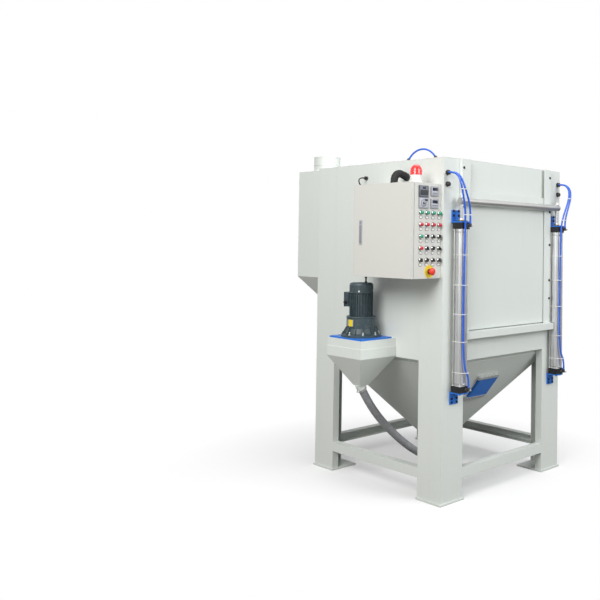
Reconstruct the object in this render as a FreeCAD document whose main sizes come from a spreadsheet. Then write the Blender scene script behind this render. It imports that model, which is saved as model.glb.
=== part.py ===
import FreeCAD, Part
import math
import os
import re

from FreeCAD import Placement, Rotation, Vector

# Sandblasting cabinet: a sheet metal cabin on four folded posts, with a collecting hopper
# under it, a door lifted by two air cylinders at the front, and a control box and a geared
# vibrating separator on the left wall. Millimetres, +Z up, the front faces -Y. The origin is
# on the floor under the middle of the machine's whole reach; machine_x and machine_y below
# put the cabin's own middle beside it.

SIZES = {
    # Cabin and frame
    "cab_width": 1200,
    "cab_depth": 1200,
    "cab_top": 2070,
    "cab_floor": 840,
    "sheet_wall": 5,
    "roof_sheet": 4,
    "post_face": 193,
    "post_lip": 50,
    "foot_thick": 12,
    "foot_lip": 8,
    "rail_low": 130,
    "rail_high": 62,
    "rail_wall": 5,
    # Front opening and its door
    "opening_low": 1050,
    "head_high": 266,
    "door_lap": 16,
    "door_under": 24,
    "door_over": 75,
    "door_thick": 10,
    "door_gap": 5,
    "guide_inset": 20,
    "guide_wide": 73,
    "guide_front": 4,
    "sill_lap": 48,
    "sill_deep": 60,
    "sill_under": 73,
    "sill_high": 43,
    # Lifting gear
    "cylinder_in": 103,
    "cylinder_out": 50,
    "cap_side": 72,
    "cap_high": 38,
    "cap_low_z": 668,
    "cap_up_z": 1641,
    "barrel_outer": 34,
    "barrel_wall": 2.5,
    "tie_rod": 4.5,
    "tie_pitch": 56,
    "rod_radius": 11,
    "rod_fit": 0.05,
    "thread_radius": 8,
    "bar_radius": 20,
    "bar_z": 1809,
    "bar_over": 16,
    "bar_fit": 0.3,
    "lug_x": 300,
    "lug_wide": 50,
    "lug_high": 30,
    "bracket_wide": 70,
    "bracket_thick": 8,
    "bracket_leg": 76,
    "nut_radius": 14,
    "nut_high": 9,
    "valve_x": 18,
    "valve_radius": 9,
    "valve_reach": 30,
    "socket_radius": 8,
    "socket_rise": 18,
    "gland_in": 28,
    "gland_under": 93,
    "gland_apart": 69,
    "wall_gland_y": 93,
    "gland_radius": 17,
    "gland_reach": 20,
    # Hopper under the cabin
    "rim_margin": 60,
    "rim_thick": 4,
    "skirt_margin": 55,
    "skirt_deep": 30,
    "hopper_low": 241,
    "hopper_end": 92,
    "hopper_wall": 5,
    "neck_radius": 46,
    "neck_low": 52,
    "neck_high": 90,
    "hatch_wide": 186,
    "hatch_long": 170,
    "hatch_thick": 18,
    "hatch_rail": 22,
    "hatch_low": 545,
    "hatch_x": 22,
    # Control box
    "box_out": 246,
    "box_near": 580,
    "box_long": 507,
    "box_low": 1346,
    "box_high": 560,
    "box_door": 18,
    "box_seam": 3,
    "button_pitch_x": 51,
    "button_first_x": 73,
    "button_pitch_z": 69,
    "button_top_z": 1731,
    "button_radius": 14,
    "button_base": 8,
    "button_high": 20,
    "stop_x": 148,
    "stop_z": 1388,
    "stop_plate": 38,
    "stop_head": 22,
    "stop_reach": 38,
    "beacon_x": 111,
    "beacon_y": 500,
    "beacon_radius": 37,
    "beacon_base_high": 50,
    "beacon_dome_high": 62,
    "conduit_radius": 24,
    "conduit_bend": 46,
    "conduit_rise": 28,
    "conduit_y": 288,
    "conduit_run": 113,
    # Separator on the left wall
    "sep_out": 295,
    "sep_mid_y": 47,
    "sep_long": 325,
    "sep_low": 847,
    "sep_high": 110,
    "sep_seam_z": 60,
    "sep_cone_end": 34,
    "sep_cone_low": 660,
    "gasket_side": 250,
    "gasket_long": 304,
    "gasket_thick": 10,
    "gasket_shift": 9.5,
    "motor_x": 155,
    "bell_foot": 124,
    "bell_radius": 90,
    "bell_plate": 12,
    "bell_neck_z": 52,
    "bell_high": 126,
    "rib_thick": 5,
    "rib_count": 12,
    "motor_radius": 66,
    "motor_high": 144,
    "fin_reach": 8,
    "fin_thick": 3,
    "fin_count": 28,
    "cowl_radius": 75,
    "cowl_high": 62,
    "terminal_out": 44,
    "terminal_wide": 84,
    "terminal_high": 89,
    # Hoses
    "hose_radius": 25,
    "spigot_radius": 30,
    "tube_radius": 6,
    "tube_apart": 13,
    "roof_tube_radius": 6,
    "roof_tilt": 40,
    "roof_mid_y": 334,
    "roof_span": 259,
    "roof_gland_long": 26,
    "cable_radius": 4,
    # Exhaust box behind the cabin
    "rear_inset": 80,
    "rear_deep": 345,
    "rear_low": 1300,
    "rear_wall": 4,
    "chute_low": 980,
    "chute_deep": 110,
    "chute_half": 260,
    "vent_inset": 107,
    "vent_low": 1400,
    "vent_high": 500,
    "duct_in": 107,
    "duct_back": 150,
    "duct_radius": 95,
    "duct_wall": 3,
    "duct_high": 104,
}

# Lengths that follow from the sizes above
FOLLOWS = {
    "span_x": "cab_width - 2 * post_face",
    "span_y": "cab_depth - 2 * post_face",
    "opening_top": "cab_top - roof_sheet - head_high",
    "door_width": "span_x + 2 * door_lap",
    "door_low": "opening_low - door_under",
    "door_top": "opening_top + door_over",
    "guide_inner": "span_x / 2 - guide_inset",
    "guide_outer": "guide_inner + guide_wide",
    "sill_length": "span_x + 2 * sill_lap",
    "sill_low": "opening_low - sill_under",
    "cylinder_x": "cab_width / 2 - cylinder_in",
    "cylinder_y": "cab_depth / 2 + cylinder_out",
    "bar_length": "2 * cylinder_x + 2 * bar_over",
    "gland_x": "cab_width / 2 - gland_in",
    "gland_up_z": "cab_top - gland_under",
    "gland_low_z": "gland_up_z - gland_apart",
    "rim_x": "cab_width / 2 - rim_margin",
    "rim_y": "cab_depth / 2 - rim_margin",
    "skirt_x": "cab_width / 2 - skirt_margin",
    "skirt_y": "cab_depth / 2 - skirt_margin",
    "skirt_low": "cab_floor - rim_thick - skirt_deep",
    "rear_half": "cab_width / 2 - rear_inset",
    "vent_half": "span_x / 2 - vent_inset",
    "duct_x": "rear_half - duct_in",
    "duct_y": "cab_depth / 2 + duct_back",
    "reach_left": "cab_width / 2 + sep_out",
    "reach_right": "cab_width / 2 + foot_lip",
    "reach_front": "cylinder_y + cap_side / 2 + valve_reach + valve_radius",
    "reach_rear": "cab_depth / 2 + rear_deep",
}

doc = FreeCAD.newDocument("sandblasting_cabinet")
sheet = doc.addObject("Spreadsheet::Sheet", "sizes")
for row, (alias, value) in enumerate(SIZES.items(), start=1):
    sheet.set("A%d" % row, alias)
    sheet.set("B%d" % row, str(value))
    sheet.setAlias("B%d" % row, alias)
doc.recompute()
for row, (alias, text) in enumerate(FOLLOWS.items(), start=len(SIZES) + 1):
    sheet.set("A%d" % row, alias)
    sheet.set("B%d" % row, "=" + text)
    sheet.setAlias("B%d" % row, alias)
    doc.recompute()

# The cabin's middle, seen from the origin
MACHINE_X = "(reach_left - reach_right) / 2"
MACHINE_Y = "(reach_front - reach_rear) / 2"
S = {alias: float(sheet.get(alias)) for alias in list(SIZES) + list(FOLLOWS)}
middle = Vector(
    (S["reach_left"] - S["reach_right"]) / 2, (S["reach_front"] - S["reach_rear"]) / 2, 0,
)
nodes = []


def formula(text):
    """The text of a formula with each size name read from the sheet."""
    return re.sub(
        r"[a-z]\w*",
        lambda word: "sizes." + word.group(0) if word.group(0) in S else word.group(0),
        str(text),
    )


def bind(item, prop, text):
    item.setExpression(prop, formula(text))
    return item


def place(item, x, y, z, turn=None):
    """Puts an object at a point measured from the cabin's middle, turned first if asked."""
    if turn is not None:
        item.Placement = Placement(Vector(), turn)
    bind(item, "Placement.Base.x", "%s + (%s)" % (MACHINE_X, x))
    bind(item, "Placement.Base.y", "%s + (%s)" % (MACHINE_Y, y))
    bind(item, "Placement.Base.z", z)
    return item


def node(item, label):
    item.Label = label
    nodes.append(item)
    return item


def box(name, x, y, z, length, width, height, turn=None):
    item = doc.addObject("Part::Box", name)
    bind(item, "Length", length)
    bind(item, "Width", width)
    bind(item, "Height", height)
    return place(item, x, y, z, turn)


def rod(name, x, y, z, radius, height, turn=None):
    item = doc.addObject("Part::Cylinder", name)
    bind(item, "Radius", radius)
    bind(item, "Height", height)
    return place(item, x, y, z, turn)


def cone(name, x, y, z, radius, top, height):
    item = doc.addObject("Part::Cone", name)
    bind(item, "Radius1", radius)
    bind(item, "Radius2", top)
    bind(item, "Height", height)
    return place(item, x, y, z)


DOWN = Rotation(Vector(1, 0, 0), -90)
FORWARD = Rotation(Vector(1, 0, 0), 90)


def funnel(name, x, y, z, half_x, half_y, end_x, end_y, height, end_shift="0"):
    """A four-sided funnel that narrows downwards from a top rectangle; its end may sit off centre."""
    item = doc.addObject("Part::Wedge", name)
    item.Ymin = 0
    bind(item, "Ymax", height)
    bind(item, "Xmin", "-(%s)" % half_x)
    bind(item, "Xmax", half_x)
    bind(item, "Zmin", "-(%s)" % half_y)
    bind(item, "Zmax", half_y)
    bind(item, "X2min", "-(%s)" % end_x)
    bind(item, "X2max", end_x)
    bind(item, "Z2min", "(%s) - (%s)" % (end_shift, end_y))
    bind(item, "Z2max", "(%s) + (%s)" % (end_shift, end_y))
    return place(item, x, y, z, DOWN)


def cut(name, base, tool):
    item = doc.addObject("Part::Cut", name)
    item.Base = base
    item.Tool = tool
    return item


def fuse(name, *shapes):
    item = doc.addObject("Part::MultiFuse", name)
    item.Shapes = list(shapes)
    return item


def group(name, *shapes):
    item = doc.addObject("Part::Compound", name)
    item.Links = list(shapes)
    return item


def body_with_sketch(name, role):
    body = doc.addObject("PartDesign::Body", name)
    plane = [item for item in body.Origin.OriginFeatures if item.Role == role][0]
    sketch = body.newObject("Sketcher::SketchObject", name + "_sketch")
    sketch.AttachmentSupport = [(plane, "")]
    sketch.MapMode = "FlatFace"
    return body, sketch


def draw_loop(sketch, corners):
    """A closed loop through corners, given as pairs of formulas that are zero or more."""
    import Sketcher
    count = len(corners)
    first = sketch.GeometryCount
    spots = [
        Vector(100 + 80 * math.cos(2 * math.pi * i / count), 100 + 80 * math.sin(2 * math.pi * i / count), 0)
        for i in range(count)
    ]
    for i in range(count):
        sketch.addGeometry(Part.LineSegment(spots[i], spots[(i + 1) % count]), False)
    for i in range(count):
        sketch.addConstraint(
            Sketcher.Constraint("Coincident", first + i, 2, first + (i + 1) % count, 1)
        )
    for i, (across, up) in enumerate(corners):
        for kind, text, axis in (("DistanceX", across, -2), ("DistanceY", up, -1)):
            if str(text) == "0":
                sketch.addConstraint(Sketcher.Constraint("PointOnObject", first + i, 1, axis))
                continue
            start = spots[i].x if kind == "DistanceX" else spots[i].y
            index = sketch.addConstraint(Sketcher.Constraint(kind, -1, 1, first + i, 1, start))
            bind(sketch, "Constraints[%d]" % index, text)


def draw_circle(sketch, radius):
    import Sketcher
    sketch.addGeometry(Part.Circle(Vector(), Vector(0, 0, 1), 30), False)
    index = sketch.GeometryCount - 1
    sketch.addConstraint(Sketcher.Constraint("Coincident", index, 3, -1, 1))
    number = sketch.addConstraint(Sketcher.Constraint("Radius", index, 30))
    bind(sketch, "Constraints[%d]" % number, radius)


def pad(body, sketch, length):
    item = body.newObject("PartDesign::Pad", body.Name + "_pad")
    item.Profile = sketch
    bind(item, "Length", length)
    body.Tip = item
    return item


def turned(name, corners, x, y, z, turn=None):
    """A turned piece: the outline of half its section, as (radius, height), swept round its axis."""
    body, sketch = body_with_sketch(name, "XZ_Plane")
    draw_loop(sketch, corners)
    item = body.newObject("PartDesign::Revolution", name + "_turn")
    item.Profile = sketch
    item.ReferenceAxis = (sketch, ["V_Axis"])
    item.Angle = 360
    body.Tip = item
    return place(body, x, y, z, turn)


def tube_along(label, route, radius):
    """A free hose or tube as a solid: straight runs joined by arcs as large as the runs allow."""
    points = [Vector(*spot) + middle for spot in route]
    edges = []
    start = points[0]
    radii = []
    for i in range(1, len(points) - 1):
        before = points[i] - points[i - 1]
        after = points[i + 1] - points[i]
        half_turn = before.getAngle(after) / 2
        back = 0.45 * min(before.Length, after.Length)
        radii.append(back / math.tan(half_turn))
        into = before * (1 / before.Length)
        away = after * (1 / after.Length)
        first = points[i] - into * back
        last = points[i] + away * back
        inward = away - into
        inward.normalize()
        centre_gap = radii[-1] / math.cos(half_turn)
        centre = points[i] + inward * centre_gap
        crown = centre + (points[i] - centre) * (radii[-1] / centre_gap)
        edges.append(Part.LineSegment(start, first).toShape())
        edges.append(Part.Arc(first, crown, last).toShape())
        start = last
    edges.append(Part.LineSegment(start, points[-1]).toShape())
    path = Part.Wire(edges)
    ring = Part.Wire([Part.Circle(points[0], points[1] - points[0], radius).toShape()])
    solid = path.makePipeShell([ring], True, False, 1)
    item = doc.addObject("Part::Feature", label)
    item.Shape = solid
    share = solid.Volume / (math.pi * radius ** 2 * path.Length)
    print("%s: length %.0f, radii %.0f to %.0f, volume share %.4f"
          % (label, path.Length, min(radii), max(radii), share))
    return node(item, label)


def stub(name, start, finish, radius):
    """A straight round stub between two points measured from the cabin's middle."""
    item = doc.addObject("Part::Feature", name)
    way = Vector(*finish) - Vector(*start)
    item.Shape = Part.makeCylinder(radius, way.Length)
    item.Placement = Placement(Vector(*start) + middle, Rotation(Vector(0, 0, 1), way))
    return item


# Corner posts: sheet folded to an L with a return lip on each edge
POST = [
    ("0", "0"), ("post_face", "0"), ("post_face", "post_lip"),
    ("post_face - sheet_wall", "post_lip"), ("post_face - sheet_wall", "sheet_wall"),
    ("sheet_wall", "sheet_wall"), ("sheet_wall", "post_face - sheet_wall"),
    ("post_lip", "post_face - sheet_wall"), ("post_lip", "post_face"), ("0", "post_face"),
]
CORNERS = {
    "front_left": (-1, -1, 0),
    "front_right": (1, -1, 90),
    "rear_right": (1, 1, 180),
    "rear_left": (-1, 1, 270),
}
UP_AXIS = Vector(0, 0, 1)
feet = []
for corner, (side_x, side_y, angle) in CORNERS.items():
    body, sketch = body_with_sketch("post_" + corner, "XY_Plane")
    draw_loop(sketch, POST)
    pad(body, sketch, "cab_top - roof_sheet - foot_thick")
    place(body, "%d * cab_width / 2" % side_x, "%d * cab_depth / 2" % side_y, "foot_thick",
          Rotation(UP_AXIS, angle))
    node(body, "post_" + corner)
    foot_x = "cab_width / 2 - post_face - foot_lip" if side_x > 0 else "-cab_width / 2 - foot_lip"
    foot_y = "cab_depth / 2 - post_face - foot_lip" if side_y > 0 else "-cab_depth / 2 - foot_lip"
    foot_side = "post_face + 2 * foot_lip"
    feet.append(box("foot_" + corner, foot_x, foot_y, "0", foot_side, foot_side, "foot_thick"))
node(group("foot_plates_group", *feet), "foot_plates")

# Tie rails near the floor: channels that butt against the posts' lips, open inwards
CHANNEL = [
    ("0", "0"), ("post_lip", "0"), ("post_lip", "rail_wall"), ("rail_wall", "rail_wall"),
    ("rail_wall", "rail_high - rail_wall"), ("post_lip", "rail_high - rail_wall"),
    ("post_lip", "rail_high"), ("0", "rail_high"),
]


def rail(name, x, y, length, angle):
    body, sketch = body_with_sketch(name, "YZ_Plane")
    draw_loop(sketch, CHANNEL)
    pad(body, sketch, length)
    return place(body, x, y, "rail_low", Rotation(UP_AXIS, angle))


node(group(
    "rails_crosswise",
    rail("rail_front", "-span_x / 2", "-cab_depth / 2", "span_x", 0),
    rail("rail_rear", "span_x / 2", "cab_depth / 2", "span_x", 180),
), "tie_rails_front_rear")
node(group(
    "rails_lengthwise",
    rail("rail_left", "-cab_width / 2", "span_y / 2", "span_y", 270),
    rail("rail_right", "cab_width / 2", "-span_y / 2", "span_y", 90),
), "tie_rails_sides")

# Cabin walls between the posts, and the roof on top of all
wall_high = "cab_top - roof_sheet - cab_floor"
node(box("left_sheet", "-cab_width / 2", "-span_y / 2", "cab_floor",
         "sheet_wall", "span_y", wall_high), "wall_left")
node(box("right_sheet", "cab_width / 2 - sheet_wall", "-span_y / 2", "cab_floor",
         "sheet_wall", "span_y", wall_high), "wall_right")
rear_sheet = box("rear_sheet", "-span_x / 2", "cab_depth / 2 - sheet_wall", "cab_floor",
                 "span_x", "sheet_wall", wall_high)
rear_vent = box("rear_vent", "-vent_half", "cab_depth / 2 - 2 * sheet_wall", "vent_low",
                "2 * vent_half", "3 * sheet_wall", "vent_high")
node(cut("rear_wall_cut", rear_sheet, rear_vent), "wall_rear")
node(box("roof_sheet_top", "-cab_width / 2", "-cab_depth / 2", "cab_top - roof_sheet",
         "cab_width", "cab_depth", "roof_sheet"), "roof_panel")
node(box("head_sheet", "-span_x / 2", "-cab_depth / 2", "opening_top",
         "span_x", "sheet_wall", "cab_top - roof_sheet - opening_top"), "front_head_panel")
node(box("apron_sheet", "-span_x / 2", "-cab_depth / 2", "cab_floor",
         "span_x", "sheet_wall", "opening_low - cab_floor"), "front_apron")

# Sill beam below the door
node(box("sill_beam", "-sill_length / 2", "-cab_depth / 2 - sill_deep", "sill_low",
         "sill_length", "sill_deep", "sill_high"), "door_sill")

# Door guides: stepped strips on the posts whose front flange covers the door's edge
slot_deep = "2 * door_gap + door_thick"
guide_length = "cab_top - sill_low - sill_high"


def guide_body(name, side):
    """Seen from above, the left guide has its web outside and its flange towards the opening."""
    body, sketch = body_with_sketch(name, "XY_Plane")
    web = "guide_outer - door_width / 2 - 2 * door_gap"
    wide = "guide_outer - guide_inner"
    deep = "%s + guide_front" % slot_deep
    if side < 0:
        corners = [("0", "0"), (wide, "0"), (wide, "guide_front"), (web, "guide_front"),
                   (web, deep), ("0", deep)]
    else:
        inner = "(%s) - (%s)" % (wide, web)
        corners = [("0", "0"), (wide, "0"), (wide, deep), (inner, deep),
                   (inner, "guide_front"), ("0", "guide_front")]
    draw_loop(sketch, corners)
    pad(body, sketch, guide_length)
    x = "-guide_outer" if side < 0 else "guide_inner"
    return place(body, x, "-cab_depth / 2 - (%s)" % deep, "sill_low + sill_high")


node(group("guides_group", guide_body("guide_left", -1), guide_body("guide_right", 1)), "door_guides")

# Lifting door, its lift bar with two lugs, and the two piston rods
door_back = "cab_depth / 2 + door_gap"
node(box("door_sheet", "-door_width / 2", "-(%s) - door_thick" % door_back, "door_low",
         "door_width", "door_thick", "door_top - door_low"), "lift_door")

SIDEWAYS = Rotation(Vector(0, 1, 0), 90)
bar_round = rod("bar_round", "-bar_length / 2", "-cylinder_y", "bar_z", "bar_radius", "bar_length", SIDEWAYS)
lugs = [
    box("lug_%d" % (i + 1), "%d * lug_x - lug_wide / 2" % side, "-cylinder_y", "bar_z - lug_high / 2",
        "lug_wide", "cylinder_y - (%s) - door_thick" % door_back, "lug_high")
    for i, side in enumerate((-1, 1))
]
bar_holes = [
    rod("bar_hole_%d" % (i + 1), "%d * cylinder_x" % side, "-cylinder_y", "bar_z - 2 * bar_radius",
        "thread_radius + bar_fit", "4 * bar_radius")
    for i, side in enumerate((-1, 1))
]
bar_solid = fuse("bar_solid", bar_round, *lugs)
node(cut("bar_drilled", bar_solid, group("bar_holes", *bar_holes)), "lift_bar")

rods = []
for i, side in enumerate((-1, 1)):
    x = "%d * cylinder_x" % side
    piston_low = "cap_low_z + cap_high + 4"
    rods.append(fuse(
        "piston_rod_%d" % (i + 1),
        rod("piston_%d" % (i + 1), x, "-cylinder_y", piston_low,
            "barrel_outer - barrel_wall - bar_fit", "cap_high"),
        rod("shank_%d" % (i + 1), x, "-cylinder_y", piston_low, "rod_radius",
            "bar_z - bar_radius - bar_fit - nut_high - (%s)" % piston_low),
        rod("thread_%d" % (i + 1), x, "-cylinder_y", piston_low, "thread_radius",
            "bar_z + bar_radius + bar_fit + 2 * nut_high - (%s)" % piston_low),
        rod("nut_low_%d" % (i + 1), x, "-cylinder_y", "bar_z - bar_radius - bar_fit - nut_high",
            "nut_radius", "nut_high"),
        rod("nut_high_%d" % (i + 1), x, "-cylinder_y", "bar_z + bar_radius + bar_fit",
            "nut_radius", "nut_high"),
    ))
node(group("rods_group", *rods), "piston_rods")

# Air cylinders: a barrel between two square caps, held by four tie rods, on angle brackets
barrels = []
caps = []
ties = []
brackets = []
valves = []
barrel_low = "cap_low_z + cap_high"
barrel_high = "cap_up_z - cap_low_z - cap_high"
for i, side in enumerate((-1, 1)):
    x = "%d * cylinder_x" % side
    tag = "_%d" % (i + 1)
    barrels.append(cut(
        "barrel" + tag,
        rod("barrel_out" + tag, x, "-cylinder_y", barrel_low, "barrel_outer", barrel_high),
        rod("barrel_in" + tag, x, "-cylinder_y", barrel_low, "barrel_outer - barrel_wall", barrel_high),
    ))
    cap_x = "%s - cap_side / 2" % x
    cap_y = "-cylinder_y - cap_side / 2"
    low_cap = box("cap_low" + tag, cap_x, cap_y, "cap_low_z", "cap_side", "cap_side", "cap_high")
    top_cap = cut(
        "cap_up" + tag,
        box("cap_up_block" + tag, cap_x, cap_y, "cap_up_z", "cap_side", "cap_side", "cap_high"),
        rod("cap_up_hole" + tag, x, "-cylinder_y", "cap_up_z", "rod_radius + rod_fit", "cap_high"),
    )
    caps.extend((low_cap, top_cap))
    for j, (dx, dy) in enumerate(((-1, -1), (1, -1), (1, 1), (-1, 1))):
        ties.append(rod(
            "tie%s_%d" % (tag, j + 1), "%s + %d * tie_pitch / 2" % (x, dx),
            "-cylinder_y + %d * tie_pitch / 2" % dy, barrel_low, "tie_rod", barrel_high,
        ))
    leg_y = "-cab_depth / 2 - bracket_thick"
    shelf_deep = "cylinder_y + cap_side / 2 - cab_depth / 2"
    top_z = "cap_up_z + cap_high"
    top_shelf = cut(
        "shelf_up" + tag,
        box("shelf_up_plate" + tag, "%s - bracket_wide / 2" % x, cap_y, top_z,
            "bracket_wide", shelf_deep, "bracket_thick"),
        rod("shelf_up_hole" + tag, x, "-cylinder_y", top_z, "rod_radius + door_gap / 2", "bracket_thick"),
    )
    brackets.append(fuse(
        "bracket_up" + tag, top_shelf,
        box("leg_up" + tag, "%s - bracket_wide / 2" % x, leg_y, top_z,
            "bracket_wide", "bracket_thick", "bracket_leg"),
    ))
    brackets.append(fuse(
        "bracket_low" + tag,
        box("shelf_low" + tag, "%s - bracket_wide / 2" % x, cap_y, "cap_low_z - bracket_thick",
            "bracket_wide", shelf_deep, "bracket_thick"),
        box("leg_low" + tag, "%s - bracket_wide / 2" % x, leg_y, "cap_low_z - bracket_leg",
            "bracket_wide", "bracket_thick", "bracket_leg"),
    ))
    for name, z in (("low", "cap_low_z + cap_high / 2"), ("up", "cap_up_z + cap_high / 2")):
        valve_x = "%s + valve_x" % x
        front_y = "-cylinder_y - cap_side / 2"
        valves.append(fuse(
            "valve_%s%s" % (name, tag),
            rod("valve_body_%s%s" % (name, tag), valve_x, front_y, z, "valve_radius",
                "valve_reach + valve_radius", FORWARD),
            rod("valve_socket_%s%s" % (name, tag), valve_x,
                front_y + " - valve_reach / 2 - valve_radius / 2", z, "socket_radius", "socket_rise"),
        ))
node(group("barrels_group", *barrels), "cylinder_barrels")
node(group("caps_group", *caps), "cylinder_caps")
node(group("ties_group", *ties), "cylinder_tie_rods")
node(group("brackets_group", *brackets), "cylinder_brackets")
node(group("valves_group", *valves), "flow_valves")

glands = [
    rod("gland_%d" % (i + 1), "%d * gland_x" % side, "-cab_depth / 2", z,
        "gland_radius", "gland_reach", FORWARD)
    for i, (side, z) in enumerate((
        (-1, "gland_up_z"), (1, "gland_up_z"), (-1, "gland_low_z"), (1, "gland_low_z"),
    ))
]

# Collecting hopper: a flat rim inside the cabin's foot, a short skirt and a four-sided funnel
rim_half_x = "cab_width / 2 - sheet_wall"
rim_half_y = "cab_depth / 2 - sheet_wall"
rim_z = "cab_floor - rim_thick"
rim_plate = box("rim_plate", "-(%s)" % rim_half_x, "-(%s)" % rim_half_y, rim_z,
                "2 * (%s)" % rim_half_x, "2 * (%s)" % rim_half_y, "rim_thick")
rim_window = box("rim_window", "-rim_x", "-rim_y", rim_z, "2 * rim_x", "2 * rim_y", "rim_thick")
lip_clear = "door_gap / 10"
slots = []
for corner, (side_x, side_y, angle) in CORNERS.items():
    lip_x = "%d * (cab_width / 2 - post_face + sheet_wall / 2) - sheet_wall / 2 - %s" % (side_x, lip_clear)
    lip_y = "%d * (cab_depth / 2 - post_lip / 2) - post_lip / 2 - %s" % (side_y, lip_clear)
    slots.append(box("slot_x_" + corner, lip_x, lip_y, rim_z, "sheet_wall + 2 * " + lip_clear,
                     "post_lip + 2 * " + lip_clear, "rim_thick"))
    lip_x = "%d * (cab_width / 2 - post_lip / 2) - post_lip / 2 - %s" % (side_x, lip_clear)
    lip_y = "%d * (cab_depth / 2 - post_face + sheet_wall / 2) - sheet_wall / 2 - %s" % (side_y, lip_clear)
    slots.append(box("slot_y_" + corner, lip_x, lip_y, rim_z, "post_lip + 2 * " + lip_clear,
                     "sheet_wall + 2 * " + lip_clear, "rim_thick"))
node(cut("rim_cut", rim_plate, group("rim_gaps", rim_window, *slots)), "hopper_rim")

slope_high = "skirt_low - hopper_low"
outer = fuse(
    "hopper_outer",
    box("skirt_outer", "-skirt_x", "-skirt_y", "skirt_low", "2 * skirt_x", "2 * skirt_y", "skirt_deep"),
    funnel("slope_outer", "0", "0", "skirt_low", "skirt_x", "skirt_y",
           "hopper_end", "hopper_end", slope_high),
)
bore_x = "skirt_x - hopper_wall"
bore_y = "skirt_y - hopper_wall"
bore_end = "hopper_end - hopper_wall"
inner = fuse(
    "hopper_inner",
    box("skirt_inner", "-(%s)" % bore_x, "-(%s)" % bore_y, "skirt_low",
        "2 * (%s)" % bore_x, "2 * (%s)" % bore_y, "skirt_deep"),
    funnel("slope_inner", "0", "0", "skirt_low", bore_x, bore_y, bore_end, bore_end, slope_high),
)
node(cut("hopper_shell", outer, inner), "main_hopper")

# Hatch on the hopper's front slope, a blue plate between two folded rails
slope_run = S["skirt_y"] - S["hopper_end"]
slope_rise = S["skirt_low"] - S["hopper_low"]
slope_tilt = math.degrees(math.atan2(slope_rise, slope_run))


def on_slope(name, across, low, thick, wide, long):
    """A plate on the front slope: across is from the middle, low is up the slope from its foot."""
    item = doc.addObject("Part::Box", name)
    item.Length = wide
    item.Width = long
    item.Height = thick
    turn = Rotation(Vector(1, 0, 0), 180 - slope_tilt)
    up_slope = Vector(0, -math.cos(math.radians(slope_tilt)), math.sin(math.radians(slope_tilt)))
    foot = Vector(across - wide / 2, -S["hopper_end"], S["hopper_low"])
    item.Placement = Placement(foot + up_slope * low + middle, turn)
    return item


hatch_up = (S["hatch_low"] - S["hopper_low"]) / math.sin(math.radians(slope_tilt))
node(on_slope("hatch_plate", S["hatch_x"], hatch_up, S["hatch_thick"], S["hatch_wide"], S["hatch_long"]),
     "hatch_cover")
rail_width = S["hatch_rail"]
rail_thick = 1.2 * S["hatch_thick"]
rail_long = S["hatch_wide"] + S["hatch_thick"]
rail_x = S["hatch_x"] - S["hatch_thick"]
node(group(
    "hatch_rails_group",
    on_slope("hatch_rail_low", rail_x, hatch_up - rail_width, rail_thick, rail_long, rail_width),
    on_slope("hatch_rail_top", rail_x, hatch_up + S["hatch_long"], rail_thick, rail_long, rail_width),
), "hatch_rails")

# Outlet neck under the hopper, with the spigot that the hose comes into
hose_from = Vector(
    -S["cab_width"] / 2 - S["sep_out"] / 2 + S["spigot_radius"] / 3, -S["sep_mid_y"],
    S["sep_cone_low"] - S["spigot_radius"],
)
hose_to = Vector(
    -S["neck_radius"] - 3 * S["spigot_radius"], -S["tube_radius"], S["neck_low"] + S["neck_radius"],
)
HOSE_WAY = [
    (0, 0), (0.073, 0.129), (0.221, 0.335), (0.422, 0.551), (0.637, 0.745), (0.842, 0.901), (1, 1),
]
HOSE = [
    (hose_from.x + (hose_to.x - hose_from.x) * across, hose_from.y + (hose_to.y - hose_from.y) * across,
     hose_from.z + (hose_to.z - hose_from.z) * down)
    for across, down in HOSE_WAY
]
hose_start = Vector(*HOSE[0])
hose_end = Vector(*HOSE[-1])
end_way = hose_end - Vector(*HOSE[-2])
end_way.normalize()
neck = rod("neck_pipe", "0", "0", "neck_low", "neck_radius", "hopper_low - neck_low - neck_high")
collar = box("neck_collar", "-hopper_end", "-hopper_end", "hopper_low - neck_high",
             "2 * hopper_end", "2 * hopper_end", "neck_high")
neck_stub = stub("neck_stub", hose_end, hose_end + end_way * (2.6 * S["neck_radius"]), S["spigot_radius"])
node(fuse("neck_fused", neck, collar, neck_stub), "hopper_outlet")

# Exhaust box on the rear wall, its chute, and the duct spigot on top
rear_mid_y = "cab_depth / 2"
rear_out = box("rear_out", "-rear_half", rear_mid_y, "rear_low", "2 * rear_half", "rear_deep",
               "cab_top - rear_low")
rear_in = box("rear_in", "-rear_half + rear_wall", rear_mid_y, "rear_low + rear_wall",
              "2 * rear_half - 2 * rear_wall", "rear_deep - rear_wall", "cab_top - rear_low - 2 * rear_wall")
rear_hole = rod("rear_hole", "-duct_x", "duct_y", "cab_top - 2 * rear_wall", "duct_radius - duct_wall",
                "3 * rear_wall")
node(cut("rear_box_cut", rear_out, fuse("rear_space", rear_in, rear_hole)), "exhaust_box")
chute_mid = "cab_depth / 2 + rear_deep / 2"
chute_shift = "chute_deep / 2 - rear_deep / 2"
chute_out = funnel("chute_out", "0", chute_mid, "rear_low", "rear_half", "rear_deep / 2",
                   "chute_half", "chute_deep / 2", "rear_low - chute_low", chute_shift)
chute_in = funnel("chute_in", "0", chute_mid, "rear_low", "rear_half - 2 * rear_wall",
                  "rear_deep / 2 - 2 * rear_wall", "chute_half - 2 * rear_wall",
                  "chute_deep / 2 - 2 * rear_wall", "rear_low - chute_low - rear_wall", chute_shift)
node(cut("chute_shell", chute_out, chute_in), "exhaust_chute")
duct_out = rod("duct_out", "-duct_x", "duct_y", "cab_top", "duct_radius", "duct_high")
duct_in = rod("duct_in", "-duct_x", "duct_y", "cab_top", "duct_radius - duct_wall", "duct_high")
node(cut("duct_cut", duct_out, duct_in), "duct_spigot")

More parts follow.
